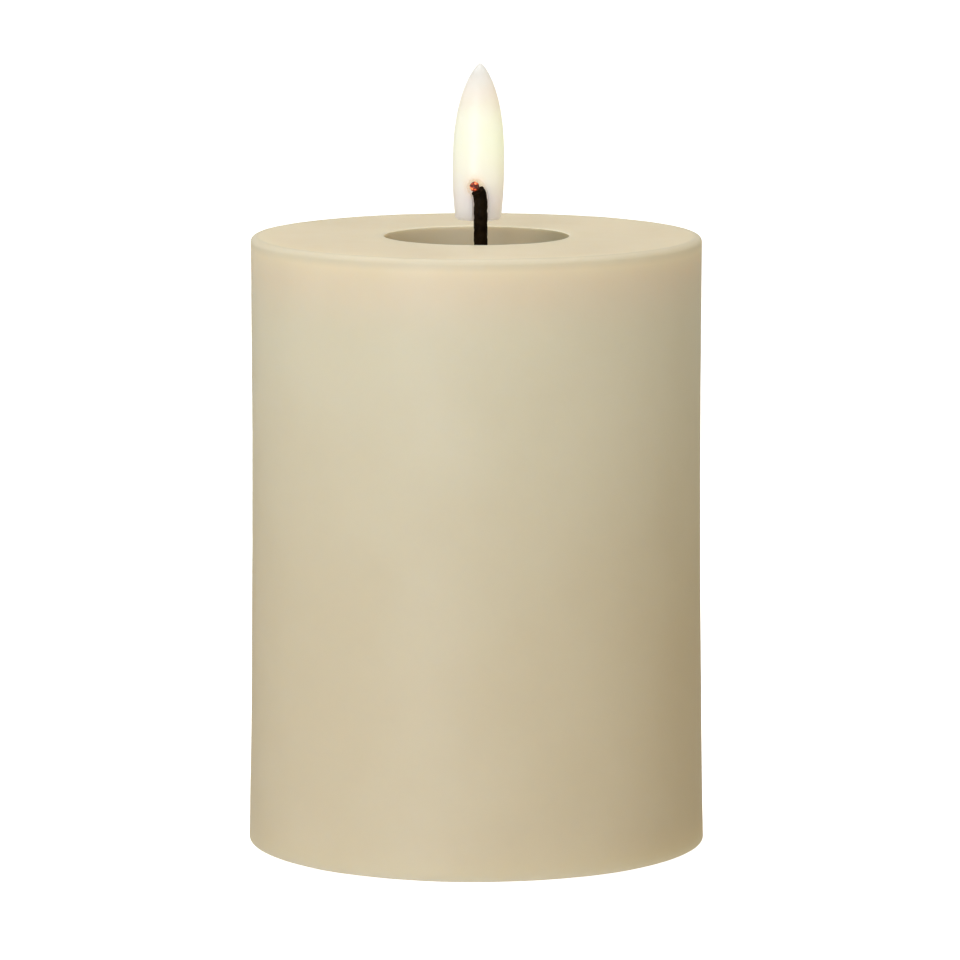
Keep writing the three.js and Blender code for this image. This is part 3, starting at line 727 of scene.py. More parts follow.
class Coat(Sheet):
    """A new material, with its shader, the Object coordinates and the shared effects at hand."""

    def __init__(self, name: str) -> None:
        """Start the material.

        Args:
            name: Name of the material.
        """
        self.material = bpy.data.materials.new(name)
        self.material.use_nodes = True
        super().__init__(self.material.node_tree)
        self.shader = self.tree.nodes["Principled BSDF"]
        self.spot = self.add("TexCoord").outputs["Object"]

    def axis(self, name: str) -> Output:
        """One of the coordinates, in metres."""
        return self.add("SeparateXYZ", {"Vector": self.spot}).outputs[name]

    def feed(self, source: Output, *inputs: str) -> None:
        """Join an output to inputs of the shader."""
        for name in inputs:
            self.join(source, self.shader.inputs[name])

    def tone(self, scale: float, light: Colour, dark: Colour) -> Output:
        """The clouded colour.

        Args:
            scale: Scale of its clouds.
            light: The lighter tone.
            dark: The darker tone.

        Returns:
            The colour.
        """
        inputs = {"Vector": self.spot, "Scale": scale, "Light": light, "Dark": dark}
        return self.add("Group", inputs, node_tree=mottle_group()).outputs["Color"]

    def worn(self, scale: float, share: float, colour: Output, bare: Colour) -> Output:
        """A colour that is rubbed to another one along outer edges.

        Args:
            scale: Scale of the pattern that breaks up the wear.
            share: How much of it shows.
            colour: The colour of the surface.
            bare: The colour where it is rubbed.

        Returns:
            The mixed colour.
        """
        rubbed = self.add("Group", {"Vector": self.spot, "Scale": scale}, node_tree=wear_group())
        return self.mix(self.math("MULTIPLY", rubbed.outputs["Mask"], share), colour, bare)

    def gloss(self, scale: float, smooth: float, rough: float) -> None:
        """Feed the shader a roughness that drifts between two values.

        Args:
            scale: Scale of the smudges.
            smooth: The lower roughness.
            rough: The higher roughness.
        """
        inputs = {"Vector": self.spot, "Scale": scale, "Smooth": smooth, "Rough": rough}
        self.feed(self.add("Group", inputs, node_tree=smudge_group()).outputs["Roughness"], "Roughness")

    def grain(self, fine: float, broad: float, share: float, depth: float, vector: Any = None) -> None:
        """Give the surface a grain.

        Args:
            fine: Scale of its fine layer.
            broad: Scale of its broad layer.
            share: Weight of the broad layer against the fine one.
            depth: Its depth in millimetres.
            vector: Where it is looked up, the Object coordinates where left out.
        """
        spot = self.spot if vector is None else vector
        inputs = {"Vector": spot, "Fine Scale": fine, "Broad Scale": broad, "Broad Share": share}
        self.bump(self.add("Group", inputs, node_tree=grain_group()).outputs["Height"], depth)

    def bump(self, height: Output, depth: float) -> None:
        """Raise the surface by a pattern.

        Args:
            height: The pattern.
            depth: Its depth in millimetres.
        """
        self.feed(self.add("Bump", {"Height": height, "Distance": depth * MM}).outputs["Normal"], "Normal")

    def done(self, **constants: Any) -> bpy.types.Material:
        """Set the shader's constant inputs and give the material.

        Args:
            constants: Value of each input; an underscore in a name stands for a space.

        Returns:
            The material.
        """
        for key, value in constants.items():
            self.shader.inputs[key.replace("_", " ")].default_value = value
        return self.material


# ------------------------------------------------------------------ finishes


@dataclass(frozen=True)
class WaxFinish:
    """Cast wax: translucent, satin, faintly clouded, with a soft skin.

    It can carry painted shade towards +X, painted shade along the rim, and a painted glow towards the top.
    """

    name: str
    light: Colour = (0.80, 0.68, 0.49)
    dark: Colour = (0.785, 0.665, 0.475)
    depth: float = 8.0
    smooth: float = 0.42
    rough: float = 0.55
    shade_from: float = 0.0
    shade_to: float = 0.0
    painted_shade_colour: Colour = (0.43, 0.39, 0.27)
    worn: Colour = (0.88, 0.82, 0.66)
    wear: float = 0.12
    rim_radius: float = 0.0
    rim_across: Point = (1.8, 0.8)
    rim_up: Point = (-0.3, 1.0)
    rim_painted_shade: Colour = (0.66, 0.565, 0.41)
    glow: float = 0.0
    glow_colour: Colour = (0.70, 1.03, 1.06)
    glow_from: float = 32.0
    glow_to: float = 98.0

    def at_rim(self, coat: Coat) -> Output:
        """The mask of the rim, where painted shade goes: the outermost millimetre of the top.

        Args:
            coat: The material that it is made in.

        Returns:
            The mask.
        """
        flat = coat.add("CombineXYZ", {"X": coat.axis("X"), "Y": coat.axis("Y")}).outputs["Vector"]
        radius = coat.add("VectorMath", {0: flat}, operation="LENGTH").outputs["Value"]
        outer = coat.spread(radius, *[(self.rim_radius - inset) * MM for inset in self.rim_across])
        upper = coat.spread(coat.axis("Z"), *[(self.glow_to + lift) * MM for lift in self.rim_up])
        return coat.math("MULTIPLY", outer, upper)

    @lru_cache
    def material(self) -> bpy.types.Material:
        """Make the finish.

        Returns:
            The material, the same one each time.
        """
        coat = Coat(self.name)
        tone = coat.tone(55.0, self.light, self.dark)
        pale = coat.worn(180.0, self.wear, tone, self.worn)
        # painted shade: the rim's colour is darkened to tone down its highlight
        if self.rim_radius:
            pale = coat.mix(self.at_rim(coat), pale, self.rim_painted_shade)
        # painted shade: the colour darkens towards +X, where the well's right end lies in shade
        if self.shade_to:
            shaded = coat.spread(coat.axis("X"), self.shade_from * MM, self.shade_to * MM)
            pale = coat.mix(shaded, pale, self.painted_shade_colour)
        coat.feed(pale, "Base Color")
        coat.gloss(70.0, self.smooth, self.rough)
        coat.grain(fine=1400.0, broad=260.0, share=2.5, depth=0.012)
        # painted glow: an emission that lightens the wax towards the top
        if self.glow:
            near_top = coat.spread(coat.axis("Z"), self.glow_from * MM, self.glow_to * MM)
            coat.feed(coat.mix(near_top, (0, 0, 0), self.glow_colour), "Emission Color")
        return coat.done(
            Emission_Strength=self.glow,
            Subsurface_Weight=1.0,
            Subsurface_Radius=(1.0, 0.9, 0.75),
            Subsurface_Scale=self.depth * MM,
            IOR=1.44,
            Specular_IOR_Level=0.42,
        )


@dataclass(frozen=True)
class MouldedFinish:
    """Injection-moulded plastic with a fine spark-eroded grain and slightly rubbed edges."""

    name: str
    light: Colour
    dark: Colour
    worn: Colour
    smooth: float = 0.38
    rough: float = 0.5
    glow_through: float = 0.0
    rubbed: float = 0.6

    @lru_cache
    def material(self) -> bpy.types.Material:
        """Make the finish.

        Returns:
            The material, the same one each time.
        """
        coat = Coat(self.name)
        tone = coat.tone(90.0, self.light, self.dark)
        coat.feed(coat.worn(400.0, self.rubbed, tone, self.worn), "Base Color")
        coat.gloss(120.0, self.smooth, self.rough)
        coat.grain(fine=3200.0, broad=300.0, share=0.4, depth=0.01)
        return coat.done(
            Subsurface_Weight=self.glow_through,
            Subsurface_Radius=(1.0, 0.8, 0.6),
            Subsurface_Scale=0.8 * MM,
            IOR=1.5,
        )


@dataclass(frozen=True)
class MetalFinish:
    """Plated metal with fine drawing lines along one axis and a drifting gloss."""

    name: str
    light: Colour
    dark: Colour
    along: Place = (40.0, 900.0, 900.0)

    @lru_cache
    def material(self) -> bpy.types.Material:
        """Make the finish.

        Returns:
            The material, the same one each time.
        """
        coat = Coat(self.name)
        coat.feed(coat.tone(300.0, self.light, self.dark), "Base Color")
        coat.gloss(500.0, smooth=0.2, rough=0.36)
        drawn = coat.add("Mapping", {"Vector": coat.spot, "Scale": self.along}).outputs["Vector"]
        coat.grain(fine=3.0, broad=0.6, share=0.5, depth=0.004, vector=drawn)
        return coat.done(Metallic=1.0)


@dataclass(frozen=True)
class WickFinish:
    """A charred wick: near black and dry, with fibres that run round the twist."""

    name: str = "charred_wick"

    @lru_cache
    def material(self) -> bpy.types.Material:
        """Make the finish.

        Returns:
            The material, the same one each time.
        """
        coat = Coat(self.name)
        coat.feed(coat.tone(900.0, (0.013, 0.007, 0.002), (0.006, 0.003, 0.001)), "Base Color")
        coat.gloss(900.0, smooth=0.55, rough=0.85)
        twist = {"Vector": coat.spot, "Scale": 420.0, "Distortion": 3.0, "Detail": 2.0}
        coat.bump(coat.add("TexWave", twist, bands_direction="DIAGONAL").outputs["Fac"], 0.04)
        return coat.done(Specular_IOR_Level=0.05)


@dataclass(frozen=True)
class EmberFinish:
    """A glowing ember: red, with orange and yellow sparks and dark crusts between them, its glow painted on
    as emission.
    """

    name: str = "glowing_ember"
    painted_glow_stops: Stops = (
        (0.0, (0.05, 0.008, 0.003)),
        (0.35, (0.35, 0.035, 0.012)),
        (0.7, (0.85, 0.14, 0.04)),
        (1.0, (1.0, 0.42, 0.16)),
    )

    @lru_cache
    def material(self) -> bpy.types.Material:
        """Make the finish.

        Returns:
            The material, the same one each time.
        """
        coat = Coat(self.name)
        cells = coat.add("TexVoronoi", {"Vector": coat.spot, "Scale": 1700.0})
        spark = coat.spread(cells.outputs["Distance"], 0.75, 0.1)
        # painted glow: the ember's colours are also its emission
        coat.feed(coat.ramp(spark, self.painted_glow_stops), "Emission Color", "Base Color")
        coat.grain(fine=2600.0, broad=900.0, share=1.0, depth=0.06)
        return coat.done(Emission_Strength=0.5)


@dataclass(frozen=True)
class FlameFinish:
    """Frosted translucent plastic, lit from inside by a painted glow: brightest at half height, cooler at
    foot and tip.

    The painted glow is given by the share of its height, grows a little towards +X as painted light on the
    side in shade, and warms near the ember as a painted reflection of the ember's glow.
    """

    name: str = "lit_flame"
    foot: float = 102.4
    tip: float = 127.9
    half_width: float = 3.5
    sides: Point = (0.82, 1.2)
    ember: Place = (-0.3, -2.7, 108.1)
    ember_reach: Point = (0.5, 2.7)
    ember_glow: Colour = (0.27, 0.16, 0.07)
    light: Stops = (
        (0.063, (0.15, 0.13, 0.12)),
        (0.141, (0.17, 0.14, 0.14)),
        (0.235, (0.19, 0.18, 0.15)),
        (0.298, (0.21, 0.21, 0.16)),
        (0.396, (0.21, 0.23, 0.17)),
        (0.494, (0.21, 0.25, 0.17)),
        (0.650, (0.21, 0.23, 0.165)),
        (0.750, (0.19, 0.16, 0.125)),
        (0.815, (0.18, 0.145, 0.13)),
        (0.880, (0.165, 0.155, 0.155)),
        (0.984, (0.09, 0.11, 0.13)),
    )

    @lru_cache
    def material(self) -> bpy.types.Material:
        """Make the finish.

        Returns:
            The material, the same one each time.
        """
        coat = Coat(self.name)
        # painted glow: the emission colour follows the height, standing in for the light from inside
        share = coat.spread(coat.axis("Z"), self.foot * MM, self.tip * MM, even=True)
        half = self.half_width * MM
        # painted light: the glow grows towards +X, lifting the side in shade
        side = coat.spread(coat.axis("X"), -half, half, *self.sides, even=True)
        scaled = {0: coat.ramp(share, self.light), "Scale": side}
        lit = coat.add("VectorMath", scaled, operation="SCALE").outputs["Vector"]
        # painted reflection: the glow warms near the ember
        from_ember = {0: coat.spot, 1: [c * MM for c in self.ember]}
        away = coat.add("VectorMath", from_ember, operation="DISTANCE").outputs["Value"]
        near, far = self.ember_reach
        painted_ember_warmth = coat.spread(away, far * MM, near * MM)
        coat.feed(coat.mix(painted_ember_warmth, lit, self.ember_glow), "Emission Color")
        coat.feed(coat.tone(160.0, (0.86, 0.84, 0.79), (0.83, 0.80, 0.74)), "Base Color")
        coat.gloss(200.0, smooth=0.32, rough=0.45)
        coat.grain(fine=2200.0, broad=300.0, share=0.8, depth=0.01)
        return coat.done(
            Emission_Strength=1.0,
            Subsurface_Weight=1.0,
            Subsurface_Radius=(1.0, 0.95, 0.85),
            Subsurface_Scale=6.0 * MM,
            IOR=1.45,
        )


@dataclass(frozen=True)
class CellFinish:
    """The printed sleeve of a battery cell: a dark body and a copper band at its positive end."""

    name: str
    band_from: float
    band_to: float

    @lru_cache
    def material(self) -> bpy.types.Material:
        """Make the finish.

        Returns:
            The material, the same one each time.
        """
        coat = Coat(self.name)
        band = coat.spread(coat.axis("X"), self.band_from * MM, self.band_to * MM)
        tone = coat.tone(150.0, (0.035, 0.04, 0.046), (0.025, 0.028, 0.033))
        printed = coat.mix(band, tone, (0.62, 0.30, 0.13))
        coat.feed(coat.worn(500.0, 1.0, printed, (0.6, 0.6, 0.6)), "Base Color")
        coat.feed(band, "Metallic")
        coat.gloss(250.0, smooth=0.16, rough=0.32)
        return coat.done(Coat_Weight=0.4, Coat_Roughness=0.12)


@dataclass(frozen=True)
class BoardFinish:
    """A circuit board: green solder mask with paler tracks under it."""

    name: str = "solder_mask"

    @lru_cache
    def material(self) -> bpy.types.Material:
        """Make the finish.

        Returns:
            The material, the same one each time.
        """
        coat = Coat(self.name)
        bricks = {
            "Vector": coat.spot,
            "Scale": 420.0,
            "Color1": (0.018, 0.11, 0.05),
            "Color2": (0.022, 0.13, 0.06),
            "Mortar": (0.05, 0.24, 0.11),
            "Mortar Size": 0.05,
        }
        tracks = coat.add("TexBrick", bricks)
        coat.feed(tracks.outputs["Color"], "Base Color")
        coat.gloss(300.0, smooth=0.2, rough=0.35)
        coat.bump(tracks.outputs["Fac"], 0.03)
        return coat.done()


@dataclass(frozen=True)
class EmitterFinish:
    """The light emitters: a warm phosphor that glows."""

    name: str = "warm_phosphor"

    @lru_cache
    def material(self) -> bpy.types.Material:
        """Make the finish.

        Returns:
            The material, the same one each time.
        """
        coat = Coat(self.name)
        coat.feed(coat.tone(1500.0, (1.0, 0.80, 0.42), (1.0, 0.72, 0.34)), "Base Color", "Emission Color")
        return coat.done(Emission_Strength=1.0, Roughness=0.3)


WAX = WaxFinish("cast_ivory_wax", glow=0.065, rim_radius=36.8)
# painted shade: the well's wall is darker and greyer than the wax, as shade falls in the well, and it
# scatters less deep
SHADED_WELL_WALL = WaxFinish(
    "well_wall_painted_shade", (0.67, 0.61, 0.48), (0.65, 0.59, 0.46), depth=2.0, shade_from=7.0, shade_to=14.0
)
POOL = WaxFinish("well_floor_wax", (0.78, 0.70, 0.51), (0.74, 0.66, 0.47), depth=3.0, smooth=0.3, rough=0.45)
IVORY = MouldedFinish(
    "ivory_housing", (0.72, 0.66, 0.53), (0.69, 0.63, 0.50), (0.82, 0.78, 0.68), glow_through=0.25
)
DOOR_IVORY = replace(IVORY, name="ivory_door", rubbed=0.08)
BLACK = MouldedFinish(
    "black_switch", (0.022, 0.022, 0.023), (0.016, 0.016, 0.017), (0.09, 0.09, 0.09), smooth=0.3
)
RED_INSULATION = MouldedFinish(
    "red_insulation", (0.50, 0.022, 0.014), (0.42, 0.016, 0.010), (0.6, 0.08, 0.06), smooth=0.25
)
BLACK_INSULATION = MouldedFinish(
    "black_insulation", (0.018, 0.018, 0.018), (0.012, 0.012, 0.012), (0.07, 0.07, 0.07), smooth=0.25
)
FROSTED = MouldedFinish(
    "frosted_inside", (0.86, 0.84, 0.78), (0.82, 0.80, 0.74), (0.9, 0.89, 0.85), glow_through=0.9
)
NICKEL = MetalFinish("nickel_spring", (0.72, 0.71, 0.68), (0.60, 0.59, 0.56))
ZINC = MetalFinish("zinc_screw", (0.56, 0.57, 0.60), (0.46, 0.47, 0.50), along=(600.0, 600.0, 60.0))
CAN = MetalFinish("steel_can", (0.66, 0.66, 0.66), (0.58, 0.58, 0.58))


# ------------------------------------------------------------------ wax, well, wick and flame


@dataclass
class WaxPillar:
    """The cast wax shell: slightly waisted, with a rounded rim, a flat top and a round well."""

    foot_radius: float = 37.44
    waist_radius: float = 36.74
    top_radius: float = 36.78
    foot: float = 0.4
    foot_edge: float = 0.3
    top: float = 100.0
    rim: float = 1.0
    well: float = 15.0
    well_lip: float = 0.25
    bore: float = 33.0
    ceiling: float = 91.0
    ceiling_edge: float = 2.0
    inner_edge: float = 0.5
    side_rows: int = 44
    sides: int = 176

    def side(self) -> list[Point]:
        """The outside between the foot's edge and the rim, drawn in a little at half height.

        Returns:
            The points, from low to high, both ends left out.
        """
        low, high = self.foot + self.foot_edge, self.top - self.rim
        points = []
        for row in range(1, self.side_rows):
            s = row / self.side_rows
            from_foot = self.foot_radius * (1 - s) * (1 - 2 * s)
            from_waist = self.waist_radius * 4 * s * (1 - s)
            from_top = self.top_radius * s * (2 * s - 1)
            points.append((from_foot + from_waist + from_top, low + (high - low) * s))
        return points

    def profile(self) -> list[Point]:
        """The shell's section.

        Returns:
            The points, closed, from the foot up the outside, over the top and down the bore.
        """
        edge = self.inner_edge
        round_centre = (self.foot_radius - self.foot_edge, self.foot + self.foot_edge)
        return [
            (self.bore + edge, self.foot),
            *arc(round_centre, self.foot_edge, -90, 0, 4),
            *self.side(),
            *arc((self.top_radius - self.rim, self.top - self.rim), self.rim, 0, 90, 9),
            *rise((self.top_radius - self.rim, self.top), (self.well + self.well_lip, self.top), 10),
            *arc((self.well + self.well_lip, self.top - self.well_lip), self.well_lip, 90, 180, 6),
            *rise((self.well, self.top - self.well_lip), (self.well, self.ceiling + edge), 5),
            (self.well, self.ceiling + edge),
            (self.well + edge, self.ceiling),
            (self.bore - self.ceiling_edge, self.ceiling),
            (self.bore, self.ceiling - self.ceiling_edge),
            *rise((self.bore, self.ceiling - self.ceiling_edge), (self.bore, self.foot + edge), 8),
            (self.bore, self.foot + edge),
            (self.bore + edge, self.foot),
        ]

    def build(self) -> bpy.types.Object:
        """Model the shell and give its skin the slight unevenness of poured wax, broad and fine."""
        shell = weather(spun("wax_pillar", self.profile(), self.sides), 0.10, 14.0)
        return weather(shell, 0.035, 3.5)

    def is_well(self, centre: Vector, normal: Vector) -> bool:
        """Whether a face of the shell lies inside the well, below its lip."""
        return math.hypot(centre.x, centre.y) < self.well + 0.3 and centre.z < self.top - 0.2

    def dress(self) -> bpy.types.Object:
        """Build the shell and put it in its place, with a darker finish inside the well: shallower
        scattering and painted shade.

        Returns:
            The shell.
        """
        shell = place(self.build(), Body.CANDLE, WAX.material(), ["wax_shell"])
        second_finish(shell, SHADED_WELL_WALL.material(), self.is_well)
        return shell


@dataclass
class WellFloor:
    """The dished floor of the well, with a raised edge, its flange and the collar on the column."""

    radius: float = 14.7
    floor: float = 93.2
    flange: float = 20.0
    flange_top: float = 90.7
    skin: float = 1.6
    collar_inner: float = 6.5
    collar_outer: float = 7.9
    collar_foot: float = 82.0
    seat: float = 88.3
    middle_rise: float = 0.5
    edge_rise: float = 0.9
    edge_top: float = 0.85
    ripple: float = 0.05
    ripples: float = 14.0
    rows: int = 24
    wick: Point = (0.7, -2.0)
    wick_hole: float = 1.35
    drilled: Point = (80.0, 99.0)

    def lift(self, share: float) -> float:
        """How high the floor stands at a share of its radius: a mound, an edge and a faint ripple."""
        swell = self.middle_rise * (1 - share) ** 2 + self.edge_rise * share**10
        return swell + self.ripple * math.sin(share * self.ripples)

    def profile(self) -> list[Point]:
        """The floor's section.

        Returns:
            The points, from the seat on the axis round to the middle of the floor.
        """
        under = self.floor - self.skin - 0.2
        shares = [1 - row / self.rows for row in range(1, self.rows)]
        dish = [(self.radius * s, self.floor + self.lift(s)) for s in shares]
        return [
            (0, self.seat),
            (self.collar_inner, self.seat),
            (self.collar_inner, self.collar_foot),
            (self.collar_outer, self.collar_foot),
            (self.collar_outer, under),
            (self.radius - self.skin, under),
            (self.radius - self.skin, self.flange_top - self.skin),
            (self.flange, self.flange_top - self.skin),
            (self.flange, self.flange_top),
            (self.radius, self.flange_top),
            (self.radius, self.floor + self.edge_top),
            *dish,
            (0, self.floor + self.middle_rise),
        ]

    def build(self) -> bpy.types.Object:
        """Model the floor and bore the wick's hole.

        Returns:
            The floor.
        """
        floor = spun("well_floor", self.profile(), 112)
        start, end = [(*self.wick, height) for height in self.drilled]
        carve(floor, rod("wick_drill", self.wick_hole, start, end, 48))
        return ease_edges(floor, 0.15)

    def dress(self) -> bpy.types.Object:
        """Build the floor and put it in its place."""
        return place(self.build(), Body.CANDLE, POOL.material(), ["well_cup"])


@dataclass
class Wick:
    """The black wick: three twisted strands, upright, its top bent to the front left, with a glowing end."""

    foot: Place = (0.7, -2.0, 87.0)
    radius: float = 1.16
    bore: float = 0.75
    port: float = 105.6
    port_radius: float = 0.72
    strands: int = 3
    pinches: tuple[Point, ...] = ((0.42, 0.975), (0.2, 0.97))
    turns: float = 3.2
    rows: int = 90
    bend: tuple[Place, ...] = (
        (0.7, -2.0, 101.0),
        (0.7, -2.0, 104.6),
        (0.7, -2.0, 105.6),
        (0.63, -2.04, 106.4),
        (0.43, -2.17, 107.05),
        (0.2, -2.32, 107.4),
    )
    ember_share: float = 0.94

    def line(self, foot: float) -> list[Place]:
        """The wick's middle line from a height up."""
        return [(self.foot[0], self.foot[1], foot), *self.bend]

    def length(self) -> float:
        """The length of the middle line in millimetres."""
        return sum((Vector(b) - Vector(a)).length for a, b in pairwise(self.line(self.foot[2])))

    def build(self) -> bpy.types.Object:
        """Model a lobed rod, twist it, bend it along its line, and bore it for the leads.

        Returns:
            The wick.
        """
        put_down()
        bpy.ops.mesh.primitive_circle_add(vertices=36, radius=self.radius * MM, fill_type="NGON")
        wick = fresh("twisted_wick")
        for strand in range(self.strands):
            middle = math.tau * (strand + 0.5) / self.strands
            for width, pinch in self.pinches:
                pick_vertices(wick, lambda v: self.near(v, middle, width))
                bpy.ops.transform.resize(value=(pinch, pinch, 1), center_override=(0, 0, 0))
        pick_faces(wick, lambda centre, normal: True)
        rise_by = {"value": (0, 0, self.length() * MM)}
        bpy.ops.mesh.extrude_region_move(TRANSFORM_OT_translate=rise_by)
        self.cut_rows(wick)
        apply_modifier(
            wick, "SIMPLE_DEFORM", deform_method="TWIST", deform_axis="Z", angle=math.tau * self.turns
        )
        guide = path_curve(self.line(self.foot[2]))
        apply_modifier(wick, "CURVE", object=guide, deform_axis="POS_Z")
        bpy.data.objects.remove(guide, do_unlink=True)
        weather(wick, 0.05, 0.5)
        x, y, z = self.foot
        carve(wick, rod("lead_drill", self.bore, (x, y, z - 1), (x, y, self.port + 0.4), 24))
        return carve(wick, self.port_drill("port_drill"))

    def port_drill(self, name: str) -> bpy.types.Object:
        """The cutter of the side hole through which the leads pass.

        Args:
            name: Name of the cutter.

        Returns:
            The cutter.
        """
        x, y, _ = self.foot
        return rod(name, self.port_radius, (x, y, self.port), (x, y + 3, self.port), 24)

    @staticmethod
    def near(spot: Vector, middle: float, width: float) -> bool:
        """Whether a point lies near a direction about the upright axis.

        Args:
            spot: The point.
            middle: The direction, in radians.
            width: The widest angle from it, in radians.

        Returns:
            Whether it lies within the angle.
        """
        turn = math.atan2(spot.y, spot.x) - middle
        return abs((turn + math.pi) % math.tau - math.pi) < width

    def cut_rows(self, wick: bpy.types.Object) -> None:
        """Cut rows across the straight rod, so that it can twist and bend.

        Args:
            wick: The rod, still straight.
        """
        edit(wick, "EDGE")
        close_up()
        mesh = edit(wick, "EDGE")
        for edge in mesh.edges:
            edge.select_set(abs(edge.verts[0].co.z - edge.verts[1].co.z) > MM)
        bmesh.update_edit_mesh(wick.data)
        bpy.ops.mesh.subdivide(number_cuts=self.rows)
        bpy.ops.object.mode_set(mode="OBJECT")

    def ember(self) -> bpy.types.Object:
        """Model the glowing end: a bead with a crusted skin.

        Returns:
            The bead.
        """
        low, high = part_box("wick_ember")
        put_down()
        size = (high - low).x / 2 * self.ember_share
        bpy.ops.mesh.primitive_ico_sphere_add(subdivisions=5, radius=size, location=(low + high) / 2)
        return weather(settle(fresh("ember_bead")), 0.22, 0.5)

    def dress(self) -> list[bpy.types.Object]:
        """Build the wick and its ember and put them in place.

        Returns:
            The placed pieces.
        """
        return [
            place(self.build(), Body.CANDLE, WickFinish().material(), ["wick_sleeve"], 50),
            place(self.ember(), Body.CANDLE, EmberFinish().material(), ["wick_ember"], 80),
        ]


@dataclass
class Flame:
    """The frosted flame: a thin pointed shell with an open foot and a groove for the wick in its front."""

    wick: Wick
    centre: Point = (0.3, 1.5)
    foot: float = 102.4
    waist: float = 110.5
    tip: float = 127.9
    radius: float = 4.2
    foot_draw: float = 0.12
    shoulder: float = 2.6
    point: float = 0.75
    wall: float = 0.9
    tip_wall: float = 1.9
    thinning: float = 0.6
    lean: float = 0.35
    lean_steps: int = 24
    groove: float = 1.35
    groove_wall: float = 0.7
    sides: int = 96
    rows: int = 40

    def reach(self, height: float) -> float:
        """Radius of the outside at a height.

        Args:
            height: The height.

        Returns:
            The radius, drawn in a little towards the foot and to nothing at the tip.
        """
        if height < self.waist:
            drop = (self.waist - height) / (self.waist - self.foot)
            return self.radius * (1 - self.foot_draw * drop**2)
        climb = (height - self.waist) / (self.tip - self.waist)
        return self.radius * (1 - climb**self.shoulder) ** self.point

    def solid(self, name: str, inset: float, foot: float, foot_round: float) -> bpy.types.Object:
        """A full flame shape.

        Args:
            name: Name of the solid.
            inset: How far it lies inside the outside.
            foot: Height of its foot.
            foot_round: Radius of the round at its foot, 0 for none.

        Returns:
            The solid, leaning as the flame does.
        """
        tip = self.tip - self.tip_wall * inset
        start = foot + foot_round
        side = self.reach(start) - inset
        profile = [(0, foot)]
        if foot_round:
            profile += arc((side - foot_round, start), foot_round, -90, 0, 5)
        else:
            profile += [(side, foot)]
        for row in range(1, self.rows):
            share = math.sin(row / self.rows * math.pi / 2)
            height = start + (tip - start) * share
            wall = inset * (1 - self.thinning * share**6)
            profile.append((max(self.reach(height) - wall, 0.05), height))
        profile.append((0, tip))
        flame = spun(name, profile, self.sides, (*self.centre, 0))
        self.tilt(flame)
        return flame

    def tilt(self, flame: bpy.types.Object) -> None:
        """Lean a flame solid towards +X, more and more towards its tip.

        Args:
            flame: The upright solid.
        """
        steps, span = self.lean_steps, self.tip - self.foot
        for step in range(1, steps):
            level = self.foot + span * step / steps
            pick_vertices(flame, lambda v: v.z > level)
            shift = self.lean * ((step + 0.5) ** 2 - (step - 0.5) ** 2) / steps**2
            bpy.ops.transform.translate(value=(shift * MM, 0, 0))
        put_down()

    def channel(self, name: str, radius: float) -> bpy.types.Object:
        """The wick's own path, made fatter, from below the flame to past the ember.

        Args:
            name: Name of the tool.
            radius: Its radius.

        Returns:
            The tool.
        """
        path = tube(name, self.wick.line(self.foot - 5), radius)
        end, before = Vector(self.wick.bend[-1]), Vector(self.wick.bend[-2])
        past = end + (end - before).normalized() * 0.6
        put_down()
        bpy.ops.mesh.primitive_uv_sphere_add(
            segments=32, ring_count=20, radius=(radius + 0.1) * MM, location=past * MM
        )
        return carve(path, fresh(f"{name}_end"), Carve.JOIN, folded=True)

    def build(self) -> bpy.types.Object:
        """Model the shell, its groove and the hole for the leads.

        Returns:
            The shell.
        """
        shell = self.solid("frosted_flame", 0, self.foot, 0.6)
        hollow = self.solid("flame_hollow", self.wall, self.foot - 1, 0)
        carve(hollow, self.channel("groove_wall", self.groove + self.groove_wall))
        carve(shell, hollow)
        carve(shell, self.channel("groove_cutter", self.groove))
        return carve(shell, self.wick.port_drill("port_cutter"))

    def dress(self) -> bpy.types.Object:
        """Build the flame and put it in its place."""
        return place(self.build(), Body.CANDLE, FlameFinish().material(), ["flame_shell"], 45)


# ------------------------------------------------------------------ underside


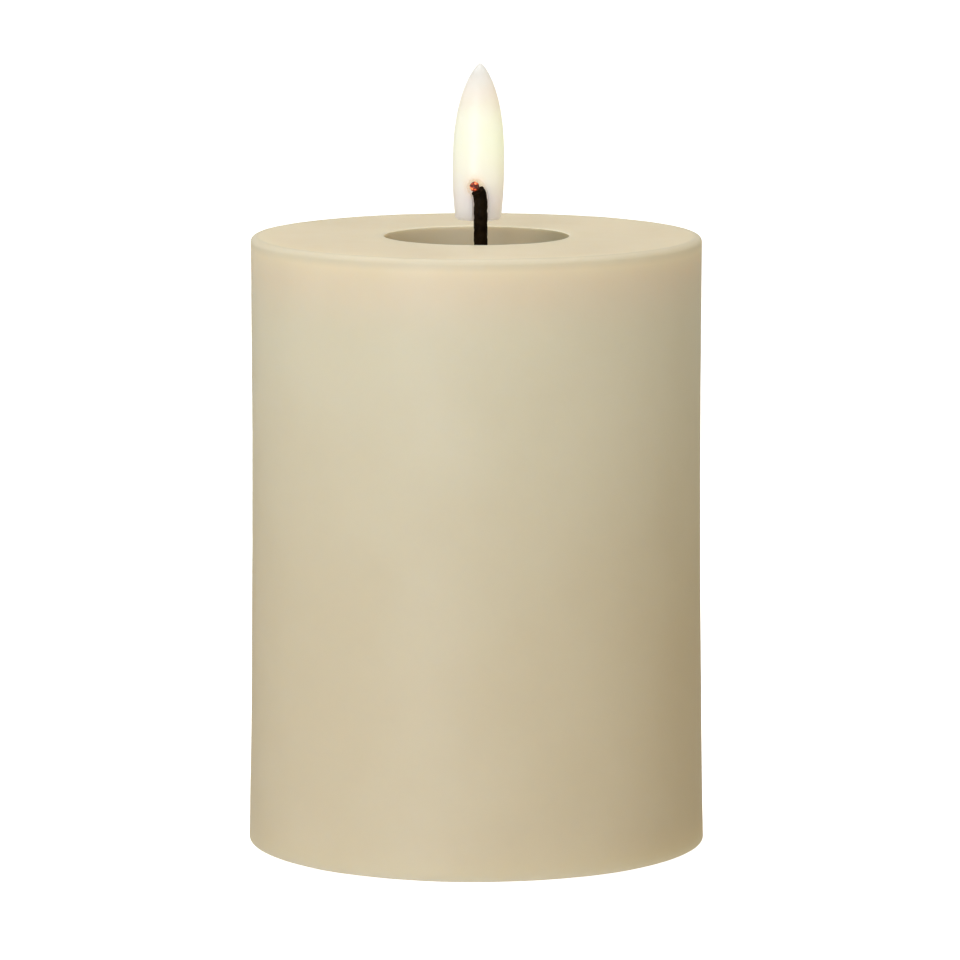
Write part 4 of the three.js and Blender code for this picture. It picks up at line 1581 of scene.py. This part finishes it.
@dataclass
class Underside:
    """The base plate, the battery door and the switch knob, with their small moulded signs."""

    plate_face: float = 0.8
    sign_height: float = 0.22
    sign_root: float = 0.2
    sign_row: float = 28.4
    ring_wall: float = 0.28
    stops: tuple[float, ...] = (-2.5, 0.0, 2.5)
    arrow_spot: Point = (-17.0, 0.0)
    arrow_radius: float = 2.4
    arrow_height: float = 0.4
    arrow_root: float = 0.02

    def ring_sign(self, name: str, x: float, y: float, radius: float) -> bpy.types.Object:
        """A raised ring on the plate's underside.

        Args:
            name: Name of the ring.
            x: Its middle along X.
            y: Its middle along Y.
            radius: Its outer radius.

        Returns:
            The ring.
        """
        low, high = self.plate_face - self.sign_height, self.plate_face + self.sign_root
        inner = radius - self.ring_wall
        profile = [(inner, low), (radius, low), (radius, high), (inner, high), (inner, low)]
        return spun(name, profile, 32, (x, y, 0))

    def bar_sign(self, name: str, x: float, y: float, size: Point) -> bpy.types.Object:
        """A raised bar on the plate's underside.

        Args:
            name: Name of the bar.
            x: Its middle along X.
            y: Its middle along Y.
            size: Its lengths along X and Y.

        Returns:
            The bar.
        """
        low = (x - size[0] / 2, y - size[1] / 2, self.plate_face - self.sign_height)
        high = (x + size[0] / 2, y + size[1] / 2, self.plate_face + self.sign_root)
        return block(name, low, high)

    def plate(self) -> bpy.types.Object:
        """Refine the base plate and raise the on, off and timer signs beside the switch.

        Returns:
            The plate.
        """
        plate = ease_edges(from_node("base_plate", "base_shell"), 0.18)
        on, off, timer = self.stops
        y = self.sign_row
        signs = [
            self.bar_sign("on_bar", on, y, (0.3, 1.7)),
            self.ring_sign("off_ring", off, y, 0.85),
            self.ring_sign("timer_ring", timer + 0.1, y, 0.95),
            self.bar_sign("timer_hand", timer + 0.1, y - 0.25, (0.22, 0.7)),
            self.bar_sign("timer_short_hand", timer + 0.33, y, (0.5, 0.22)),
        ]
        return merged("base_shell", [*signs, plate])

    def door(self) -> bpy.types.Object:
        """Refine the door and raise an arrow that points to its latch.

        Returns:
            The door.
        """
        door = ease_edges(from_node("battery_door", "door_panel"), 0.15)
        put_down()
        bpy.ops.mesh.primitive_cylinder_add(
            vertices=3,
            radius=self.arrow_radius * MM,
            depth=self.arrow_height * MM,
            location=Vector((*self.arrow_spot, self.plate_face + self.arrow_root)) * MM,
            rotation=(0, 0, math.pi / 2),
        )
        arrow = ease_edges(fresh("latch_arrow"), 0.12)
        return merged("door_panel", [arrow, door])

    def knob(self) -> bpy.types.Object:
        """Refine the switch knob."""
        return ease_edges(from_node("switch_knob", "slide_knob"), 0.12)

    def dress(self) -> list[bpy.types.Object]:
        """Build the pieces of the underside and put them in place.

        Returns:
            The placed pieces.
        """
        return [
            place(self.plate(), Body.CANDLE, IVORY.material(), ["base_plate"]),
            place(self.door(), Body.DOOR, DOOR_IVORY.material(), ["battery_door"]),
            place(self.knob(), Body.SWITCH, BLACK.material(), ["switch_knob"]),
        ]


@dataclass(frozen=True)
class ScrewKind:
    """One kind of cross-head screw and the CAD nodes that it stands for."""

    nodes: tuple[str, ...]
    head: float
    head_height: float
    core: float
    thread: float
    head_down: bool
    pitch: float = 0.8


@dataclass
class Screws:
    """The pan-head screws: a domed head with a cross recess, and a ridged shank."""

    kinds: tuple[ScrewKind, ...] = (
        ScrewKind(
            tuple(f"base_screw_{end}_{side}" for side in ("left", "right") for end in ("front", "rear")),
            head=2.0,
            head_height=1.2,
            core=0.85,
            thread=1.05,
            head_down=True,
        ),
        ScrewKind(("board_screw_left", "board_screw_right"), 1.8, 1.0, 0.66, 0.85, False),
        ScrewKind(("column_screw_left", "column_screw_right"), 1.8, 1.0, 0.66, 0.85, False),
    )
    recess_width: float = 0.24
    recess_depth: float = 0.75
    recess_taper: float = 0.6
    turned: float = 0.4

    def profile(self, kind: ScrewKind, length: float) -> list[Point]:
        """A screw's section, from the middle of its tip, up the ridges, to the middle of its head.

        Args:
            kind: The kind of screw.
            length: Its whole length.

        Returns:
            The points.
        """
        core, thread, head, pitch = kind.core, kind.thread, kind.head, kind.pitch
        shank = length - kind.head_height
        profile = [(0, 0), (core * 0.5, 0.15)]
        for ridge in range(int((shank - 0.8) / pitch)):
            z = 0.5 + ridge * pitch
            profile += [(core, z), (thread, z + pitch * 0.5), (core, z + pitch * 0.8)]
        return [
            *profile,
            (core, shank),
            (head - 0.1, shank),
            (head, shank + 0.12),
            (head, shank + kind.head_height * 0.35),
            (head * 0.86, length - 0.24),
            (head * 0.55, length - 0.05),
            (0, length),
        ]

    def model(self, kind: ScrewKind) -> bpy.types.Object:
        """Model one screw where the first node of its kind stands.

        Args:
            kind: The kind of screw.

        Returns:
            The screw.
        """
        low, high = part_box(kind.nodes[0])
        length = (high - low).z / MM
        screw = spun(kind.nodes[0] + "_model", self.profile(kind, length), 32)
        arm, wide, taper = kind.head * 0.58, self.recess_width, self.recess_taper
        for name, dx, dy in (("recess_x", arm, wide), ("recess_y", wide, arm)):
            cutter = block(name, (-dx, -dy, length - self.recess_depth), (dx, dy, length + 1))
            pick_faces(cutter, lambda centre, normal: normal.z < -0.9)
            bpy.ops.transform.resize(value=(taper, taper, 1), center_override=(0, 0, 0))
            carve(screw, fresh(name))
        centre = (low + high) / 2
        screw.location = (centre.x, centre.y, high.z if kind.head_down else low.z)
        screw.rotation_euler = (math.pi if kind.head_down else 0, 0, self.turned)
        return settle(screw)

    def dress(self) -> list[bpy.types.Object]:
        """Model each kind of screw once, copy it to each of its places, and dress the copies.

        Returns:
            The placed screws.
        """
        placed = []
        for kind in self.kinds:
            first = self.model(kind)
            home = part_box(kind.nodes[0])[0]
            for node in kind.nodes:
                twin = copy_to(first, node.replace("_screw", "_fixing"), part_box(node)[0] - home)
                placed.append(place(twin, Body.CANDLE, ZINC.material(), [node], 30))
            bpy.data.objects.remove(first, do_unlink=True)
        return placed


# ------------------------------------------------------------------ cells and works


@dataclass
class Cells:
    """The two cells: a sleeved can with a shrunk edge at each end, a nub and a recessed tail."""

    radius: float = 7.15
    nub_radius: float = 2.75
    nub: float = 1.3
    band: Point = (11.2, 10.8)
    nodes: tuple[tuple[str, int], ...] = (("battery_cell_front", -1), ("battery_cell_rear", 1))

    def profile(self, length: float) -> list[Point]:
        """The can's section from tail to nub.

        Args:
            length: Whole length of the cell.

        Returns:
            The section, from the axis round to the axis.
        """
        r, body = self.radius, length - self.nub
        return [
            (0, 0.35),
            (4.6, 0.35),
            (4.9, 0.12),
            (r - 1.5, 0.12),
            (r - 1.2, 0),
            *arc((r - 0.45, 0.45), 0.45, -90, 0, 4),
            *rise((r, 0.45), (r, body - 0.45), 10),
            *arc((r - 0.45, body - 0.45), 0.45, 0, 90, 4),
            (r - 1.3, body),
            (r - 1.6, body - 0.18),
            (self.nub_radius + 0.5, body - 0.18),
            (self.nub_radius + 0.1, body + 0.1),
            (self.nub_radius, body + 0.4),
            *arc((self.nub_radius - 0.4, length - 0.4), 0.4, 0, 90, 4),
            (0, length),
        ]

    def model(self) -> bpy.types.Object:
        """Model one cell that lies along X, its tail at the origin and its nub towards +X.

        Returns:
            The cell.
        """
        low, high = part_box(self.nodes[0][0])
        cell = spun("cell_model", self.profile((high - low).x / MM), 72)
        cell.rotation_euler = (0, math.pi / 2, 0)
        return settle(cell)

    def dress(self) -> list[bpy.types.Object]:
        """Model one cell, copy it to both places, and dress the copies with bare metal at both ends.

        Returns:
            The placed cells.
        """
        placed = []
        first = self.model()
        for node, way in self.nodes:
            low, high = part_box(node)
            tail, end = (low.x, high.x) if way > 0 else (high.x, low.x)
            spot = Vector((tail, (low.y + high.y) / 2, (low.z + high.z) / 2))
            twin = copy_to(first, node.replace("battery_", "sleeved_"), spot, 0.0 if way > 0 else math.pi)
            band = [end / MM - way * (self.nub + inset) for inset in self.band]
            finish = CellFinish(f"sleeve_{node}", *band)
            cell = place(twin, Body.CANDLE, finish.material(), [node])
            second_finish(cell, CAN.material(), lambda centre, normal: self.is_bare(centre, low, high))
            placed.append(cell)
        bpy.data.objects.remove(first, do_unlink=True)
        return placed

    def is_bare(self, centre: Vector, low: Vector, high: Vector) -> bool:
        """Whether a face of a cell is bare metal, inside the sleeve's edge at either end.

        Args:
            centre: The face's centre in millimetres.
            low: The cell's lowest corner in metres.
            high: The cell's highest corner in metres.

        Returns:
            Whether it is bare.
        """
        axis = (low + high) / 2 / MM
        off = math.hypot(centre.y - axis.y, centre.z - axis.z)
        near_end = min(centre.x - low.x / MM, high.x / MM - centre.x) < self.nub + 0.3
        return off < self.radius - 0.9 and near_end


@dataclass
class Works:
    """The hidden parts: each CAD node's own shape, with eased edges or rounded sections, and its finish."""

    eased: dict[str, tuple[str, str, Any, float]] = field(
        default_factory=lambda: {
            "battery_bay": ("bay_tub", "housing_plastic", IVORY, 0.2),
            "support_column": ("column_post", "housing_plastic", IVORY, 0.2),
            "switch_body": ("switch_case", "black_plastic", BLACK, 0.1),
            "timer_chip": ("timer_package", "black_plastic", BLACK, 0.06),
            "smoothing_capacitor": ("capacitor_can", "black_plastic", BLACK, 0.15),
            "timing_crystal": ("crystal_can", "spring_steel", NICKEL, 0.1),
            "contact_positive": ("positive_contact", "spring_steel", NICKEL, 0.08),
            "contact_negative": ("negative_contact", "spring_steel", NICKEL, 0.08),
            "contact_bridge": ("bridge_contact", "spring_steel", NICKEL, 0.08),
            "control_board": ("circuit_board", "circuit_board", BoardFinish(), 0.05),
            "flame_plug": ("flame_stopper", "flame", FROSTED, 0.12),
            "light_strip": ("light_carrier", "flame", FROSTED, 0.05),
        }
    )
    wires: dict[str, tuple[str, str, Any]] = field(
        default_factory=lambda: {
            "battery_wire_positive": ("red_battery_wire", "red_wire", RED_INSULATION),
            "battery_wire_negative": ("black_battery_wire", "black_wire", BLACK_INSULATION),
            "light_lead_positive": ("red_light_lead", "red_wire", RED_INSULATION),
            "light_lead_negative": ("black_light_lead", "black_wire", BLACK_INSULATION),
        }
    )
    emitters: tuple[str, ...] = ("light_emitter_lower", "light_emitter_upper")

    def dress(self) -> list[bpy.types.Object]:
        """Refine every hidden part and put it in its place.

        Returns:
            The placed parts.
        """
        placed = []
        for node, (name, slot, finish, edge) in self.eased.items():
            piece = ease_edges(from_node(node, name), edge, above=40)
            placed.append(place(piece, Body.CANDLE, finish.material(), [node]))
        slider = ease_edges(from_node("switch_slider", "slide_carriage"), 0.1)
        placed.append(place(slider, Body.SWITCH, BLACK.material(), ["switch_slider"]))
        for node, (name, slot, finish) in self.wires.items():
            wire = apply_modifier(from_node(node, name), "SUBSURF", levels=1, render_levels=1)
            placed.append(place(wire, Body.CANDLE, finish.material(), [node], 60))
        for node in self.emitters:
            piece = ease_edges(from_node(node, node.replace("light_emitter", "emitter")), 0.08)
            placed.append(place(piece, Body.CANDLE, EmitterFinish().material(), [node]))
        return placed


# ------------------------------------------------------------------ studio


@dataclass(frozen=True)
class Lamp:
    """One soft square light that points at the candle; its place and side are in metres."""

    name: str
    spot: Place
    power: float
    colour: Colour = (1.0, 1.0, 1.0)
    size: float = 0.8
    target: Place = (0.0, 0.0, 0.06)

    def hang(self) -> None:
        """Hang the light."""
        put_down()
        bpy.ops.object.light_add(type="AREA", location=self.spot)
        light = fresh(self.name)
        light.data.size = self.size
        light.data.energy = self.power
        light.data.color = self.colour
        aim(light, Vector(self.target) - Vector(self.spot), "-Z")


@dataclass
class Studio:
    """A plain white floor, soft lights and the camera."""

    look_at: Place = (0.6, 0.0, 59.69)
    elevation: float = 8.29
    distance: float = 1011.1
    lens: float = 231.75
    world: float = 0.41
    ambient: Colour = (1.0, 0.89, 0.68)
    lamps: tuple[Lamp, ...] = (
        Lamp("key_light", (-0.47, -1.2, 0.26), 10.5, (0.745, 0.82, 0.96)),
        Lamp("left_light", (-1.2, -0.1, 0.12), 0.15),
        Lamp("right_light", (1.1, -0.1, 0.5), 0.4, (1.0, 0.97, 0.9)),
        Lamp("top_light", (-0.1, 0.1, 1.2), 5.6, size=0.7),
        Lamp("under_light", (0.0, 0.0, -0.9), 1.3, (1.0, 0.97, 0.92)),
    )

    def floor(self) -> None:
        """Lay a white floor that only the camera sees from above."""
        put_down()
        bpy.ops.mesh.primitive_plane_add(size=12)
        floor = fresh("studio_floor")
        coat = Coat("white_floor")
        coat.feed(coat.tone(2.0, (0.95, 0.95, 0.95), (0.94, 0.94, 0.94)), "Base Color")
        coat.done(Roughness=1.0, Specular_IOR_Level=0.0, Emission_Color=(1, 1, 1, 1), Emission_Strength=1.0)
        clear = coat.add("BsdfTransparent").outputs[0]
        below = coat.add("NewGeometry").outputs["Backfacing"]
        shown = coat.add("MixShader", {0: below, 1: coat.shader.outputs[0], 2: clear}).outputs[0]
        coat.join(shown, coat.tree.nodes["Material Output"].inputs["Surface"])
        floor.data.materials.append(coat.material)
        floor.visible_diffuse = False
        floor.visible_glossy = False
        floor.visible_transmission = False
        floor.visible_shadow = False

    def surroundings(self) -> None:
        """Make the room white to the camera, and a soft warm light to the candle."""
        world = bpy.data.worlds.new("white_room")
        bpy.context.scene.world = world
        world.use_nodes = True
        sheet = Sheet(world.node_tree)
        world.node_tree.nodes.clear()
        seen = sheet.add("Background", {"Color": (1, 1, 1), "Strength": 1.0}).outputs[0]
        cast = sheet.add("Background", {"Color": self.ambient, "Strength": self.world}).outputs[0]
        camera = sheet.add("LightPath").outputs["Is Camera Ray"]
        mixed = sheet.add("MixShader", {0: camera, 1: cast, 2: seen}).outputs[0]
        sheet.add("OutputWorld", {"Surface": mixed})

    def camera(self) -> None:
        """Set the camera at its place, with no shift."""
        put_down()
        tilt = math.radians(self.elevation)
        target = Vector(self.look_at) * MM
        back = Vector((0, -math.cos(tilt), math.sin(tilt)))
        bpy.ops.object.camera_add(location=target + back * self.distance * MM)
        camera = fresh("camera")
        camera.data.lens = self.lens
        camera.data.sensor_width = 36
        camera.data.clip_start = 0.01
        aim(camera, -back, "-Z")
        bpy.context.scene.camera = camera

    def build(self) -> None:
        """Set up the whole studio."""
        self.camera()
        self.floor()
        self.surroundings()
        for lamp in self.lamps:
            lamp.hang()
        bpy.context.scene.view_settings.view_transform = "Standard"


def main() -> None:
    """Build the studio and every piece of the candle."""
    logging.basicConfig(level=logging.INFO, format="%(name)s: %(message)s")
    Studio().build()
    wick = Wick()
    groups = (WaxPillar(), WellFloor(), wick, Flame(wick), Underside(), Screws(), Cells(), Works())
    for group in groups:
        group.dress()
        log.info("%s done", type(group).__name__)


if __name__ == "__main__":
    main()
